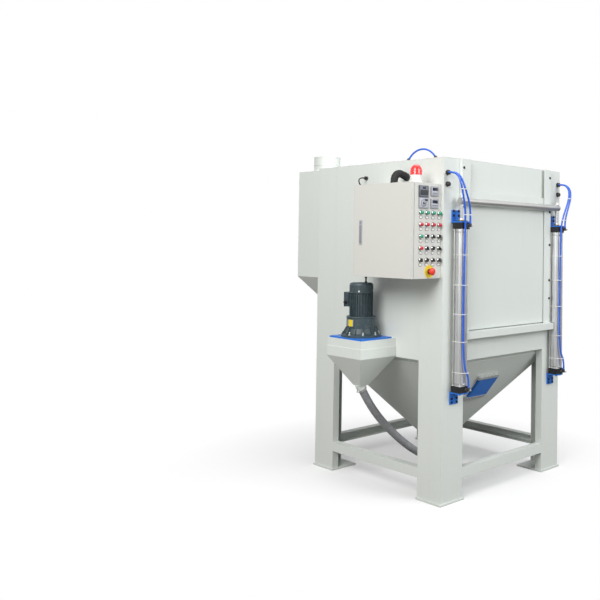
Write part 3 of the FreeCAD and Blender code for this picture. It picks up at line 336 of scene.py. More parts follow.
# Each finish has its slot, its maker, its colours or the setting that holds its colour, and its other numbers
FINISHES = {
    "cabin_coat": ("frame_paint", powder_coat, "paint"),
    # The hopper, outlet, rim, separator cone and exhaust chute wear the cabin's paint made darker by tone 0.93:
    # painted shade
    "hopper_coat": ("hopper_paint", powder_coat, "paint", {"rough": 0.5, "grime": 1.3, "tone": 0.93}),
    "box_coat": ("frame_paint", powder_coat, "panel_paint", {"rough": 0.38, "grime": 0.35, "edge": 0.003}),
    "blue_enamel": ("blue_paint", enamel, "blue"),
    "motor_enamel": ("motor_paint", cast_paint, "motor"),
    "barrel_metal": ("cylinder_aluminium", brushed, (0.76, 0.77, 0.79), {"rough": 0.22}),
    "rod_metal": ("rod_chrome", brushed, (0.80, 0.81, 0.83), {"rough": 0.08, "lines": 0.06}),
    "bar_steel": ("plain_steel", brushed, (0.60, 0.60, 0.59), {"rough": 0.28, "along": "X"}),
    "fitting_metal": ("plain_steel", brushed, (0.70, 0.70, 0.68), {"rough": 0.25, "along": "Y"}),
    "brass_metal": ("plain_steel", brushed, (0.62, 0.44, 0.18), {"rough": 0.28}),
    "chrome": ("plain_steel", brushed, (0.86, 0.86, 0.86), {"rough": 0.12, "lines": 0.05}),
    "plate_silver": ("plain_steel", brushed, (0.66, 0.67, 0.68), {"rough": 0.3, "along": "X"}),
    "zinc": ("galvanised", galvanised, ((0.47, 0.48, 0.48), (0.72, 0.73, 0.72))),
    "cap_black": ("black_cap", moulded, (0.016, 0.016, 0.018),
                  {"rough": 0.38, "grain": 0.1, "scale": 500, "metallic": 0.3}),
    "plastic_black": ("black_plastic", moulded, (0.020, 0.020, 0.022), {"rough": 0.45}),
    "rubber_black": ("black_plastic", moulded, (0.016, 0.016, 0.017),
                     {"rough": 0.6, "grain": 0.25, "scale": 400}),
    "screw_black": ("black_plastic", moulded, (0.025, 0.025, 0.027),
                    {"rough": 0.35, "grain": 0.1, "scale": 600, "metallic": 0.6}),
    "plastic_white": ("white_plastic", moulded, (0.83, 0.83, 0.81), {"rough": 0.36}),
    "plastic_grey": ("dark_plastic", moulded, (0.30, 0.31, 0.34)),
    "plastic_pale": ("dark_plastic", moulded, (0.46, 0.47, 0.52)),
    "plastic_slate": ("dark_plastic", moulded, (0.16, 0.17, 0.21), {"rough": 0.4}),
    "plastic_dark": ("dark_plastic", moulded, (0.075, 0.085, 0.10), {"rough": 0.36}),
    "display_dark": ("dark_plastic", moulded, (0.008, 0.010, 0.016),
                     {"rough": 0.08, "grain": 0.02, "scale": 300, "coat": 0.5}),
    "cap_green": ("dark_plastic", moulded, (0.008, 0.32, 0.19), GLOSS),
    "cap_red": ("stop_red", moulded, (0.60, 0.010, 0.030), GLOSS),
    "stop_red": ("stop_red", moulded, (0.80, 0.035, 0.012), {**GLOSS, "rough": 0.3}),
    "plate_yellow": ("white_plastic", moulded, (0.86, 0.66, 0.03), {"rough": 0.4, "grain": 0.05}),
    "lens_red": ("red_lens", lens_plastic, ((0.62, 0.006, 0.008), (0.86, 0.016, 0.014))),
    "hose_wall": ("hose_clear", hose_plastic, ((0.20, 0.20, 0.205), (0.36, 0.36, 0.37))),
    "tube_blue": ("tube_blue", tube_plastic, ((0.010, 0.085, 0.52), (0.016, 0.13, 0.68))),
    "floor": (None, floor_paint, (0.26, 0.255, 0.24)),
}
MADE = {}


def finish(name):
    """The material of that name, made once."""
    if name not in MADE:
        slot, maker, colour, *numbers = FINISHES[name]
        if isinstance(colour, str):
            colour = getattr(bpy.context.scene.cabin_paint, colour)
        MADE[name] = maker(name, colour, **dict(*numbers))
    return MADE[name]


# Meshes and curves


def new_object(name, data):
    obj = bpy.data.objects.new(name, data)
    bpy.context.scene.collection.objects.link(obj)
    return obj


def settle(obj, finishes, body="cabinet", replaced=None):
    """Gives a finished object its materials and its body."""
    names = finishes.split()
    if not len(obj.data.materials):
        for name in names:
            obj.data.materials.append(finish(name))
    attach(obj, body)
    if replaced:
        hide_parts(replaced)
    return obj


def finish_modifiers(obj):
    """Turns the modifiers' result, or a curve, into a plain mesh."""
    graph = bpy.context.evaluated_depsgraph_get()
    mesh = bpy.data.meshes.new_from_object(obj.evaluated_get(graph), depsgraph=graph)
    mesh.name = name = obj.name
    if obj.type == "MESH":
        obj.modifiers.clear()
        obj.data = mesh
        return obj
    bpy.data.objects.remove(obj)
    return new_object(name, mesh)


def plain_object(name, bm):
    mesh = bpy.data.meshes.new(name)
    bmesh.ops.recalc_face_normals(bm, faces=bm.faces)
    bm.to_mesh(mesh)
    bm.free()
    return new_object(name, mesh)


def piece(name, bm, finishes, body="cabinet", replaced=None, ease=0.0, flat=30):
    """Ends a built mesh: rounds its edges, shades it by angle and settles it."""
    obj = plain_object(name, bm)
    for each in finishes.split():
        obj.data.materials.append(finish(each))
    if ease:
        bevel = obj.modifiers.new("bevel", "BEVEL")
        bevel.width = ease
        bevel.segments = 2
        bevel.limit_method = "ANGLE"
        bevel.angle_limit = math.radians(40)
        bevel.harden_normals = True
        finish_modifiers(obj)
    obj.data.shade_smooth()
    obj.data.set_sharp_from_angle(angle=math.radians(flat))
    return settle(obj, finishes, body, replaced)


def skin(bm, rows, index=0, closed=True):
    """Fills the strips between rows of points; a row of one point makes a cone."""
    for first, second in zip(rows, rows[1:]):
        count = max(len(first), len(second))
        for i in range(count if closed else count - 1):
            corners = [row[at % len(row)] for row, at in ((first, i), (first, i + 1), (second, i + 1), (second, i))]
            bm.faces.new(tuple(dict.fromkeys(corners))).material_index = index


def slab(bm, low, high, index=0):
    """A box between two corners."""
    made = bmesh.ops.create_cube(bm, size=1)["verts"]
    low, high = mm(*low), mm(*high)
    for vert in made:
        vert.co = vert.co * (high - low) + (high + low) / 2
    for face in {face for vert in made for face in vert.link_faces}:
        face.material_index = index
    return made


def lathe(bm, outline, spot, way=UP, steps=32, index=0, phase=0.0):
    """Turns an outline of (radius, height) pairs round an axis that starts at spot and points along way."""
    turn = Vector(UP).rotation_difference(Vector(way)).to_matrix()
    rows = []
    for radius, height in outline:
        angles = [phase + 2 * math.pi * i / steps for i in range(steps if radius else 1)]
        rows.append([bm.verts.new(mm(*(Vector(spot) + turn @ Vector(
            (radius * math.cos(at), radius * math.sin(at), height))))) for at in angles])
    skin(bm, rows, index)


def turned(bm, spot, way, *parts):
    """Parts turned on one axis, each with its steps, its finish's index and its outline."""
    for steps, index, *outline in parts:
        lathe(bm, outline, spot, way, steps, index)


def prism(bm, spot, way, radius, low, high, sides=6, index=0, inner=0, phase=0.0):
    """A nut, a pin or a plain ring along way, between two heights from spot."""
    outline = [(inner, low), (radius, low), (radius, high), (inner, high)] + [(inner, low)] * bool(inner)
    lathe(bm, outline, spot, way, sides, index, phase)


def hull_band(bm, rounds, z, high, thick=1.2):
    """A flat band at height z that holds several upright round bars (x, y, radius) together."""
    spots = [Vector((x + radius * math.cos(math.pi * i / 12), y + radius * math.sin(math.pi * i / 12)))
             for x, y, radius in rounds for i in range(24)]
    inner = [spots[i] for i in convex_hull_2d(spots)]
    middle = sum(inner, Vector((0, 0))) / len(inner)
    outer = []
    for i, spot in enumerate(inner):
        along = inner[(i + 1) % len(inner)] - inner[i - 1]
        away = Vector((along.y, -along.x)).normalized() * thick
        outer.append(spot + away if away.dot(spot - middle) > 0 else spot - away)
    low, top = z - high / 2, z + high / 2
    skin(bm, [[bm.verts.new(mm(spot.x, spot.y, level)) for spot in line]
              for line, level in ((inner, low), (outer, low), (outer, top), (inner, top), (inner, low))])


def route_curve(name, points, radius=0.0, resolution=6, kind="NURBS"):
    """A curve whose control points are the route's points, or with kind POLY a line through them."""
    data = bpy.data.curves.new(name, "CURVE")
    data.dimensions = "3D"
    data.bevel_depth = radius
    data.bevel_resolution = resolution
    data.resolution_u = 8
    data.use_fill_caps = radius > 0 and kind == "NURBS"
    spline = data.splines.new(kind)
    spline.points.add(len(points) - 1)
    for spot, target in zip(points, spline.points):
        target.co = (*mm(*spot), 1)
    if kind == "NURBS":
        spline.order_u = 3
        spline.use_endpoint_u = True
    return new_object(name, data)


def smooth_line(points):
    """The points that a route's curve passes, read from the curve itself."""
    obj = finish_modifiers(route_curve("route_reader", points))
    mesh = obj.data
    line = [(vert.co - MIDDLE) * 1000 for vert in mesh.vertices]
    bpy.data.objects.remove(obj)
    bpy.data.meshes.remove(mesh)
    return line


# Geometry node trees


class Growth(Nodes):
    """Builds one geometry node tree; each thing asked for has a name, a kind, a default and a description."""

    def __init__(self, name, *asked):
        super().__init__(bpy.data.node_groups.new(name, "GeometryNodeTree"), "NodeGroupOutput")
        self.names = {}
        for way in ("INPUT", "OUTPUT"):
            self.tree.interface.new_socket("Geometry", in_out=way, socket_type="NodeSocketGeometry")
        for key, kind, default, description in asked:
            socket = self.tree.interface.new_socket(key, in_out="INPUT", socket_type="NodeSocket" + kind)
            socket.description = description
            if default is not None:
                socket.default_value = default
            self.names[key] = socket.identifier
        self.start = self.tree.nodes.new("NodeGroupInput")

    def given(self, name):
        return Value(self, self.start.outputs[name])

    def shape(self, kind, inputs, **settings):
        return self.node("GeometryNode" + kind, inputs, **settings)

    def vector(self, **parts):
        return self.node("ShaderNodeCombineXYZ", parts)

    def raised(self, part, height):
        return self.shape("Transform", {"Geometry": part, "Translation": self.vector(Z=height)})

    def coat(self, part):
        return self.shape("SetMaterial", {"Geometry": part, "Material": self.given("Finish")})


def grown(name, points, edges, growth, values, fill=None):
    """Runs a tree on a mesh of points and edges, and gives the result as a plain mesh object."""
    mesh = bpy.data.meshes.new(name)
    mesh.from_pydata([tuple(mm(*spot)) for spot in points], edges, [])
    if fill:
        fill(mesh)
    obj = new_object(name, mesh)
    modifier = obj.modifiers.new("growth", "NODES")
    modifier.node_group = growth.tree
    for key, value in values.items():
        modifier[growth.names[key]] = value
    obj.update_tag()
    bpy.context.view_layer.update()
    return finish_modifiers(obj)


def fixing_growth(sides, recess):
    """Screws or bolts on points: a washer and a head, each turned to its own angle."""
    growth = Growth("hex_bolts" if sides == 6 else "round_screws",
                    ("Radius", "Float", 0.008, "Radius of the head"),
                    ("Height", "Float", 0.005, "Height of the head"),
                    ("Washer", "Float", 0.011, "Radius of the washer"),
                    ("Seed", "Int", 1, "Turns each one to its own angle"),
                    ("Finish", "Material", None, "Material of the head and the washer"))
    radius, height = growth.given("Radius"), growth.given("Height")
    washer_thick, seat, taper = 0.0016, 0.0014, 0.94 if sides == 6 else 0.72
    washer = growth.shape("MeshCylinder", {"Vertices": 24, "Radius": growth.given("Washer"), "Depth": washer_thick})
    head = growth.shape("MeshCone", {"Vertices": sides, "Radius Bottom": radius, "Radius Top": radius * taper,
                                     "Depth": height})
    parts = [growth.raised(washer, washer_thick / 2), growth.raised(head, seat)]
    if recess:
        rim = growth.shape("MeshCylinder", {"Vertices": 6, "Depth": 0.0008, "Radius": radius * 0.42})
        parts.append(growth.raised(rim, height + seat))
    one = growth.tree.nodes.new("GeometryNodeJoinGeometry")
    for part in reversed(parts):
        growth.plug(one.inputs[0], part)
    facing = growth.shape("InputNamedAttribute", {"Name": "facing"}, data_type="FLOAT_VECTOR")
    size = growth.shape("InputNamedAttribute", {"Name": "size"}, data_type="FLOAT")
    turn = growth.node("FunctionNodeAlignRotationToVector", {"Vector": facing}, axis="Z")
    angle = growth.node("FunctionNodeRandomValue", {2: 0.0, 3: 6.283, "Seed": growth.given("Seed")}, 1,
                        data_type="FLOAT")
    spin = growth.node("FunctionNodeAxisAngleToRotation", {"Axis": UP, "Angle": angle})
    both = growth.node("FunctionNodeRotateRotation", {"Rotation": turn, "Rotate By": spin}, rotation_space="LOCAL")
    placed = growth.shape("InstanceOnPoints", {
        "Points": growth.given("Geometry"), "Instance": growth.coat(Value(growth, one.outputs[0])),
        "Rotation": both, "Scale": size})
    return growth.end(growth.shape("RealizeInstances", {"Geometry": placed}))


def fixings(name, seats, sides, radius, height, washer, recess=False):
    """Sets black screws or bolts on seats, each with its spot, the way it faces and its size."""

    def fill(mesh):
        mesh.attributes.new("facing", "FLOAT_VECTOR", "POINT")
        mesh.attributes.new("size", "FLOAT", "POINT")
        for i, (spot, way, size) in enumerate(seats):
            mesh.attributes["facing"].data[i].vector = way
            mesh.attributes["size"].data[i].value = size

    settle(grown(name, [seat[0] for seat in seats], [], fixing_growth(sides, recess), {
        "Radius": radius, "Height": height, "Washer": washer, "Seed": bpy.context.scene.fixings.seed,
        "Finish": finish("screw_black")}, fill), "screw_black")


def ring_growth():
    """Rings set along a line, square to it: the wire of a grit hose or the ribs of a conduit."""
    growth = Growth("rings_along",
                    ("Pitch", "Float", 0.01, "Distance from ring to ring"),
                    ("Ring radius", "Float", 0.025, "Radius of each ring's own line"),
                    ("Wire radius", "Float", 0.001, "Thickness of the ring"),
                    ("Flatness", "Float", 1.0, "Width of the ring's section along the line, against its depth"),
                    ("Lean", "Float", 0.0, "Tilt of each ring, which reads as a helix"),
                    ("Finish", "Material", None, "Material of the rings"))
    line = growth.shape("MeshToCurve", {"Mesh": growth.given("Geometry")})
    points = growth.shape("CurveToPoints", {"Curve": line, "Length": growth.given("Pitch")}, mode="LENGTH")
    ring, wire = (growth.shape("CurvePrimitiveCircle", {"Resolution": steps, "Radius": growth.given(key)})
                  for steps, key in ((28, "Ring radius"), (8, "Wire radius")))
    wire = growth.shape("Transform", {"Geometry": wire, "Scale": growth.vector(
        X=1.0, Y=growth.given("Flatness"), Z=1.0)})
    band = growth.shape("CurveToMesh", {"Curve": ring, "Profile Curve": wire})
    band = growth.shape("Transform", {"Geometry": band, "Rotation": growth.vector(X=growth.given("Lean"))})
    placed = growth.shape("InstanceOnPoints", {
        "Points": points, "Instance": band, "Rotation": points.beside("Rotation")})
    solid = growth.shape("SetShadeSmooth", {0: growth.shape("RealizeInstances", {"Geometry": placed})})
    return growth.end(growth.coat(solid))


def rings(name, points, coat, pitch, ring_radius, wire_radius, flatness=1.0, lean=0.0):
    return settle(grown(name, points, [(i, i + 1) for i in range(len(points) - 1)], ring_growth(), {
        "Pitch": pitch, "Ring radius": ring_radius, "Wire radius": wire_radius,
        "Flatness": flatness, "Lean": lean, "Finish": finish(coat)}), coat)


# The routes of the hoses and tubes, as in the source

CAB_HALF = (HIGH["roof_panel"].x - LOW["roof_panel"].x) * 500
CYLINDER_X, CYLINDER_Y = CAB_HALF - 103, -650
# The front of the posts, of the brackets on them and of the door guides, where glands, bolts and screws sit
POST_FACE, BRACKET_FACE, GUIDE_FACE = -600, -608, -624
# The cylinders' four tie rods stand this far from the axis, both ways
ROD_OUT = (-28, 28)
PANEL_X = edge("control_box_door", -1, 0)
PANEL_Y = edge("control_box", -1, 1)
PANEL_LOW = 1346
# The elbows of the flow valves stand beside the cylinders, one low and one high
ELBOW_X, ELBOW_Y, ELBOW_LEVELS = 18, -705.5, (687, 1660)
GLAND_IN, GLAND_HIGH, GLAND_LOW = 28, 1977, 1908
HOSE_WAY = ((0, 0), (0.073, 0.129), (0.221, 0.335), (0.422, 0.551), (0.637, 0.745), (0.842, 0.901), (1, 1))
HOSE_FROM, HOSE_TO = Vector((-737.5, -47, 630)), Vector((-136, -6, 98))
# The share of the way across, how far out, and how far down
LOW_HEAD = ((0.0, 20, 0), (0.0, 52, 0), (0.02, 86, 16), (0.07, 106, 48), (0.19, 113, 92), (0.39, 113, 138),
            (0.63, 109, 184), (0.84, 104, 231), (0.96, 98, 280))
TOP_HEAD = ((0.0, 20, 0), (0.0, 52, 0), (0.02, 86, 16), (0.08, 109, 47), (0.23, 118, 90), (0.48, 119, 136),
            (0.76, 115, 184), (0.93, 109, 230))
# The bow sideways, how far out, and the share of the way down
LOW_RUN = ((0, 96, 0.067), (-1.2, 95, 0.163), (-2.8, 94, 0.281), (-4, 94, 0.41), (-4.8, 94, 0.55),
           (-4, 94, 0.679), (-2.4, 94, 0.797), (0, 96, 0.883), (4, 100, 0.942))
BOX_CABLE = ((-620, 93, 1977), (-650, 93, 1977), (-682, 83, 1959), (-696, 51, 1925), (-698, 9, 1893),
             (-698, -37, 1879), (-698, -73, 1879))
ROOF_X, ROOF_Z, ROOF_MID, ROOF_SPAN = 80 - CAB_HALF, 2070, -334, 129.5
ROOF_LEAN = math.radians(40)
ROOF_REACH = 26
CONDUIT_X, CONDUIT_Y, CONDUIT_BEND = -713, -288, 46


def tube_head(side, shift, target, head):
    """A tube's way from its post gland, outward and down in an arch."""
    start = side * (CAB_HALF - GLAND_IN) + shift
    return [(start + (target - start) * share, POST_FACE - out, GLAND_HIGH - down) for share, out, down in head]


def low_tube(side):
    target = side * CYLINDER_X - 16
    elbow = side * CYLINDER_X + ELBOW_X
    route = tube_head(side, -6.5, target, LOW_HEAD)
    top, foot = route[-1][2], 761
    route += [(target + bow, POST_FACE - out, top + (foot - top) * share) for bow, out, share in LOW_RUN]
    return route + [(elbow, ELBOW_Y, foot), (elbow, ELBOW_Y, 705)]


def top_tube(side):
    elbow = side * CYLINDER_X + ELBOW_X
    return tube_head(side, 6.5, elbow, TOP_HEAD) + [(elbow, ELBOW_Y, 1710), (elbow, ELBOW_Y, 1678)]


def roof_tube():
    half_turn = math.pi / 2 - ROOF_LEAN
    rear = ROOF_MID + ROOF_SPAN - ROOF_REACH * math.sin(ROOF_LEAN)
    foot = ROOF_Z + ROOF_REACH * math.cos(ROOF_LEAN)
    arc = (rear - ROOF_MID) / math.sin(half_turn)
    step = half_turn / 7
    reach = arc / math.cos(step)
    turns = [half_turn - (2 * index + 1) * step for index in range(7)]
    middle = foot - arc * math.cos(half_turn)
    return [(ROOF_X, rear, foot)] + [
        (ROOF_X, ROOF_MID + reach * math.sin(at), middle + reach * math.cos(at)) for at in turns
    ] + [(ROOF_X, 2 * ROOF_MID - rear, foot)]


def grit_hose():
    span = HOSE_TO - HOSE_FROM
    return [HOSE_FROM + Vector((span.x * across, span.y * across, span.z * down)) for across, down in HOSE_WAY]


def conduit_line():
    """The conduit's middle line: up from the box, round, and down a slope to the wall."""
    turns = [math.radians(106 * index / 21) for index in range(22)]
    return [(CONDUIT_X, CONDUIT_Y, 1906), (CONDUIT_X, CONDUIT_Y, 1920)] + [
        (CONDUIT_X + CONDUIT_BEND * (1 - math.cos(at)), CONDUIT_Y, 1934 + CONDUIT_BEND * math.sin(at))
        for at in turns
    ] + [(-630, CONDUIT_Y, 1971.2), (-600, CONDUIT_Y, 1962.6)]


# Operators, one for each group of pieces


class CABINET_OT_stage(bpy.types.Operator):
    """Lays the floor, the lights and the camera"""

    bl_idname = "cabinet.stage"
    bl_label = "Stage, lights and camera"

    FLOOR_HALF = 60
    # Each lamp's place and size in metres, its share of the key light's power, and its colour
    LAMPS = (("key_light", (-5.6, -2.2, 4.6), 4.0, 1.0, (1.0, 0.99, 0.97)),
             ("front_fill", (1.0, -6.4, 4.2), 4.0, 0.68, (0.97, 0.99, 1)),
             ("top_light", (0.2, -0.4, 6.4), 5.0, 0.3, (1, 1, 1)))
    EYE = (-3891.1, -3667.2, 1542.5)
    YAW, PITCH, ROLL = 0.8029, 0.0199, 0.0127
    SHIFT_X, SHIFT_Y = -0.2167, -0.1167

    def execute(self, context):
        scene = context.scene
        stage = scene.studio_stage
        scene.view_settings.view_transform = "Standard"
        bm = bmesh.new()
        bm.faces.new([bm.verts.new((x * self.FLOOR_HALF, y * self.FLOOR_HALF, 0))
                      for x, y in ((-1, -1), (1, -1), (1, 1), (-1, 1))])
        floor = plain_object("studio_floor", bm)
        floor.data.materials.append(finish("floor"))

        scene.world = bpy.data.worlds.new("studio")
        scene.world.use_nodes = True
        world = Nodes(scene.world.node_tree, "ShaderNodeOutputWorld")
        ray = world.node("ShaderNodeLightPath", {}, "Is Camera Ray")
        seen = world.math("MAXIMUM", ray, ray.beside("Is Glossy Ray"))
        light, plain = (world.node("ShaderNodeBackground", {"Color": colour, "Strength": strength})
                        for colour, strength in (((0.95, 0.97, 1), stage.sky), ((1, 1, 1), 1)))
        world.end(world.node("ShaderNodeMixShader", {0: seen, 1: light, 2: plain}))

        for name, spot, size, share, colour in self.LAMPS:
            lamp = bpy.data.lights.new(name, "AREA")
            lamp.shape = "DISK"
            lamp.size = size
            lamp.energy = stage.key * share
            lamp.color = colour
            obj = new_object(name, lamp)
            obj.location = spot
            obj.rotation_euler = (Vector(UP) - obj.location).to_track_quat("-Z", "Y").to_euler()

        camera = bpy.data.cameras.new("photo_camera")
        camera.lens = stage.lens
        camera.sensor_width = 36
        camera.sensor_fit = "HORIZONTAL"
        camera.shift_x = self.SHIFT_X
        camera.shift_y = self.SHIFT_Y
        camera.clip_end = 200
        scene.camera = new_object("photo_camera", camera)
        level = math.cos(self.PITCH)
        ahead = Vector((math.sin(self.YAW) * level, math.cos(self.YAW) * level, math.sin(self.PITCH)))
        right = Vector((math.cos(self.YAW), -math.sin(self.YAW), 0))
        up = right.cross(ahead)
        across = math.cos(self.ROLL) * right + math.sin(self.ROLL) * up
        upright = math.cos(self.ROLL) * up - math.sin(self.ROLL) * right
        pose = Matrix((across, upright, -ahead)).transposed().to_4x4()
        scene.camera.matrix_world = Matrix.Translation(mm(*self.EYE)) @ pose
        return {"FINISHED"}


class CABINET_OT_air_tubes(bpy.types.Operator):
    """Runs the blue air tubes to the cylinders, the loop on the roof and the cable to the control box"""

    bl_idname = "cabinet.air_tubes"
    bl_label = "Air tubes"

    def execute(self, context):
        wide = context.scene.lines.tube
        levels = (("low", low_tube, 1.34), ("top", top_tube, 0.37))
        runs = [("tube_%s_%s" % (level, word), "air_tube_%s_%s" % (level, word), route(side), length,
                 wide, "tube_blue") for side, word in SIDES for level, route, length in levels]
        runs.append(("tube_on_roof", "roof_tube", roof_tube(), 0.257, wide, "tube_blue"))
        runs.append(("cable_to_box", "box_cable", BOX_CABLE, 0.25, 0.008, "rubber_black"))
        for name, node, route, length, diameter, coat in runs:
            obj = settle(route_curve(name, route, diameter / 2), coat, replaced=node)
        return {"FINISHED"}


class CABINET_OT_return_hose(bpy.types.Operator):
    """Hangs the grit hose from the separator to the foot of the hopper"""

    bl_idname = "cabinet.return_hose"
    bl_label = "Return hose"

    def execute(self, context):
        lines = context.scene.lines
        radius = lines.hose / 2
        route = grit_hose()
        obj = settle(route_curve("grit_hose", route, radius - 0.0006, 8), "hose_wall", replaced="return_hose")
        wire = rings("grit_hose_wire", smooth_line(route), "plastic_grey", lines.coil_pitch,
                     radius - 0.0009, 0.0012, lean=0.05)
        return {"FINISHED"}


class CABINET_OT_coats(bpy.types.Operator):
    """Gives every sub-part of the frame its paint, metal or plastic"""

    bl_idname = "cabinet.coats"
    bl_label = "Paint and metal"

    COATS = {
        "hopper_coat": "main_hopper hopper_outlet hopper_rim separator_cone exhaust_chute",
        "box_coat": "control_box control_box_door",
        "bar_steel": "lift_bar",
        "barrel_metal": "cylinder_barrels",
        "cap_black": "cylinder_caps",
        "fitting_metal": "cylinder_tie_rods",
        "blue_enamel": "cylinder_brackets hatch_cover gasket_plate",
        "plastic_black": "flow_valves cable_glands panel_controls",
        "rod_metal": "piston_rods",
        "rubber_black": "cable_conduit box_cable motor_lead",
        "zinc": "hatch_rails",
        "motor_enamel": "motor_bell motor_body motor_cowl terminal_box",
        "plastic_white": "beacon_base",
        "lens_red": "beacon_dome",
        "stop_red": "emergency_stop",
        "plastic_grey": "panel_meters",
        "hose_wall": "return_hose",
        "tube_blue": "roof_tube air_tube_low_left air_tube_low_right air_tube_top_left air_tube_top_right",
    }

    def execute(self, context):
        coats = {node: coat for coat, nodes in self.COATS.items() for node in nodes.split()}
        for name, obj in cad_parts.items():
            obj.data.materials.clear()
            obj.data.materials.append(finish(coats.get(name, "cabin_coat")))
        return {"FINISHED"}


class CABINET_OT_panel_buttons(bpy.types.Operator):
    """Sets the push buttons, selectors and their legend plates on the control box"""

    bl_idname = "cabinet.panel_buttons"
    bl_label = "Push buttons and selectors"

    # Green and red push buttons and selectors, from the top row down, and how the selectors are turned
    ROWS = ("gggg", "rrrr", "gsss", "rsss", "ssss")
    TURNS = (0.35, -0.5, 0.8, -0.2, 0.6, -0.7, 0.1, 0.9, -0.35, 0.45)
    FIRST_X, STEP_X, FIRST_Z, STEP_Z = 73, 51, 1731, 69
    COLLAR = (32, 0, (0, 0), (14, 0), (14, 4.2), (13.2, 5.6))
    BEZEL = (32, 1, (13.2, 5.6), (12.8, 6.4), (11.6, 8), (11, 8), (10.8, 6.6))
    HUB = (32, 2, (10.8, 6.6), (10.6, 12), (9.8, 12.8), (0, 12.8))
    CAP = ((10.8, 6.6), (10.6, 15), (10, 16.6), (7, 18), (3.5, 18.6), (0, 18.8))
    # The selector's grip and its white mark
    GRIP = (((-3, -20, -10.4), (3, -12, 10.4), 2), ((-0.8, -20.15, 2.85), (0.8, -11.8, 10.55), 5))
    # The legend plate's frame and its field: half width, half height, front and finish
    LEGEND = ((13.0, 8.4, 1.3, 0), (11.0, 6.6, 1.5, 1))
    LEGEND_DROP, LEGEND_STEPS = 27.5, 28

    def legend(self, bm, x, z):
        for half_x, half_z, lift, index in self.LEGEND:
            ring = []
            for i in range(self.LEGEND_STEPS):
                at = 2 * math.pi * i / self.LEGEND_STEPS
                across, upward = math.cos(at), math.sin(at)
                ring.append((x + math.copysign(abs(across) ** 0.55, across) * half_x,
                             z - self.LEGEND_DROP + math.copysign(abs(upward) ** 0.7, upward) * half_z))
            front, back = ([bm.verts.new(mm(across, y, upward)) for across, upward in ring]
                           for y in (PANEL_Y - lift, PANEL_Y))
            bm.faces.new(front).material_index = index
            skin(bm, (front, back), index)

    def execute(self, context):
        bm = bmesh.new()
        plates = bmesh.new()
        knob = 0
        for row, kinds in enumerate(self.ROWS):
            for column, kind in enumerate(kinds):
                x = PANEL_X + self.FIRST_X + self.STEP_X * column
                z = self.FIRST_Z - self.STEP_Z * row
                spot = Vector((x, PANEL_Y, z))
                turned(bm, spot, FRONT, self.COLLAR, self.BEZEL)
                if kind == "s":
                    turned(bm, spot, FRONT, self.HUB)
                    spin = Matrix.Rotation(self.TURNS[knob % len(self.TURNS)], 3, "Y")
                    knob += 1
                    for low, high, index in self.GRIP:
                        for vert in slab(bm, spot + Vector(low), spot + Vector(high), index):
                            vert.co = spin @ (vert.co - mm(*spot)) + mm(*spot)
                else:
                    turned(bm, spot, FRONT, (32, 3 if kind == "g" else 4, *self.CAP))
                self.legend(plates, x, z)
        piece("control_buttons", bm, "plastic_black chrome plastic_black cap_green cap_red plastic_white",
              replaced="panel_controls")
        piece("legend_plates", plates, "plastic_black plastic_white")
        return {"FINISHED"}


class CABINET_OT_panel_meters(bpy.types.Operator):
    """Builds the drive's keypad, its dial and the two digital meters"""

    bl_idname = "cabinet.panel_meters"
    bl_label = "Panel meters"

    FACE = PANEL_Y - 8
    # Each block: left and lower edge on the panel, width, height, back and front before the face, finish
    KEYPAD = ((53, 474, 76, 68, -8, 0, 1), (57, 478, 68, 60, 0, 0.8, 3), (60, 486, 62, 30, 0.8, 1.4, 2),
              (78, 522, 26, 12, 0.8, 1.3, 2), (53, 410, 76, 62, -8, 0, 0), (56, 413, 70, 56, 0, 0.7, 4),
              (98, 452, 24, 12, 0.7, 1.2, 2), (87.2, 440, 1.6, 8, 0.7, 6.6, 5))
    DIAL = ((36, 2, (20.5, 0), (20.5, 1.2), (18, 1.2)), (36, 4, (18, 0), (18, 1.2), (15, 1.6), (0, 1.8)),
            (28, 1, (8.8, 0), (8.5, 4.8), (7.8, 5.5), (0, 5.5)))

    def execute(self, context):
        bm = bmesh.new()
        blocks = list(self.KEYPAD)
        for low, high in ((484, 58), (412, 56)):
            blocks += [(152, low, 62, high, -8, 0, 0), (155, low + 3, 56, high - 6, 0, 0.9, 4),
                       (161, low + high - 26, 44, 19, 0.9, 1.5, 2), (161, low + 7, 43, 2.2, 0.9, 1.3, 3)]
            blocks += [(161 + 11.6 * i, low + 15, 8, 5.5, 0.9, 2.0, 3) for i in range(4)]
        for left, low, wide, high, back, front, index in blocks:
            slab(bm, (PANEL_X + left, self.FACE - front, PANEL_LOW + low),
                 (PANEL_X + left + wide, self.FACE - back, PANEL_LOW + low + high), index)
        turned(bm, (PANEL_X + 88, self.FACE - 0.7, PANEL_LOW + 440), FRONT, *self.DIAL)
        piece("meter_fronts", bm, "plastic_grey plastic_dark display_dark plastic_slate plastic_pale plastic_white",
              replaced="panel_meters", ease=0.0005)
        return {"FINISHED"}


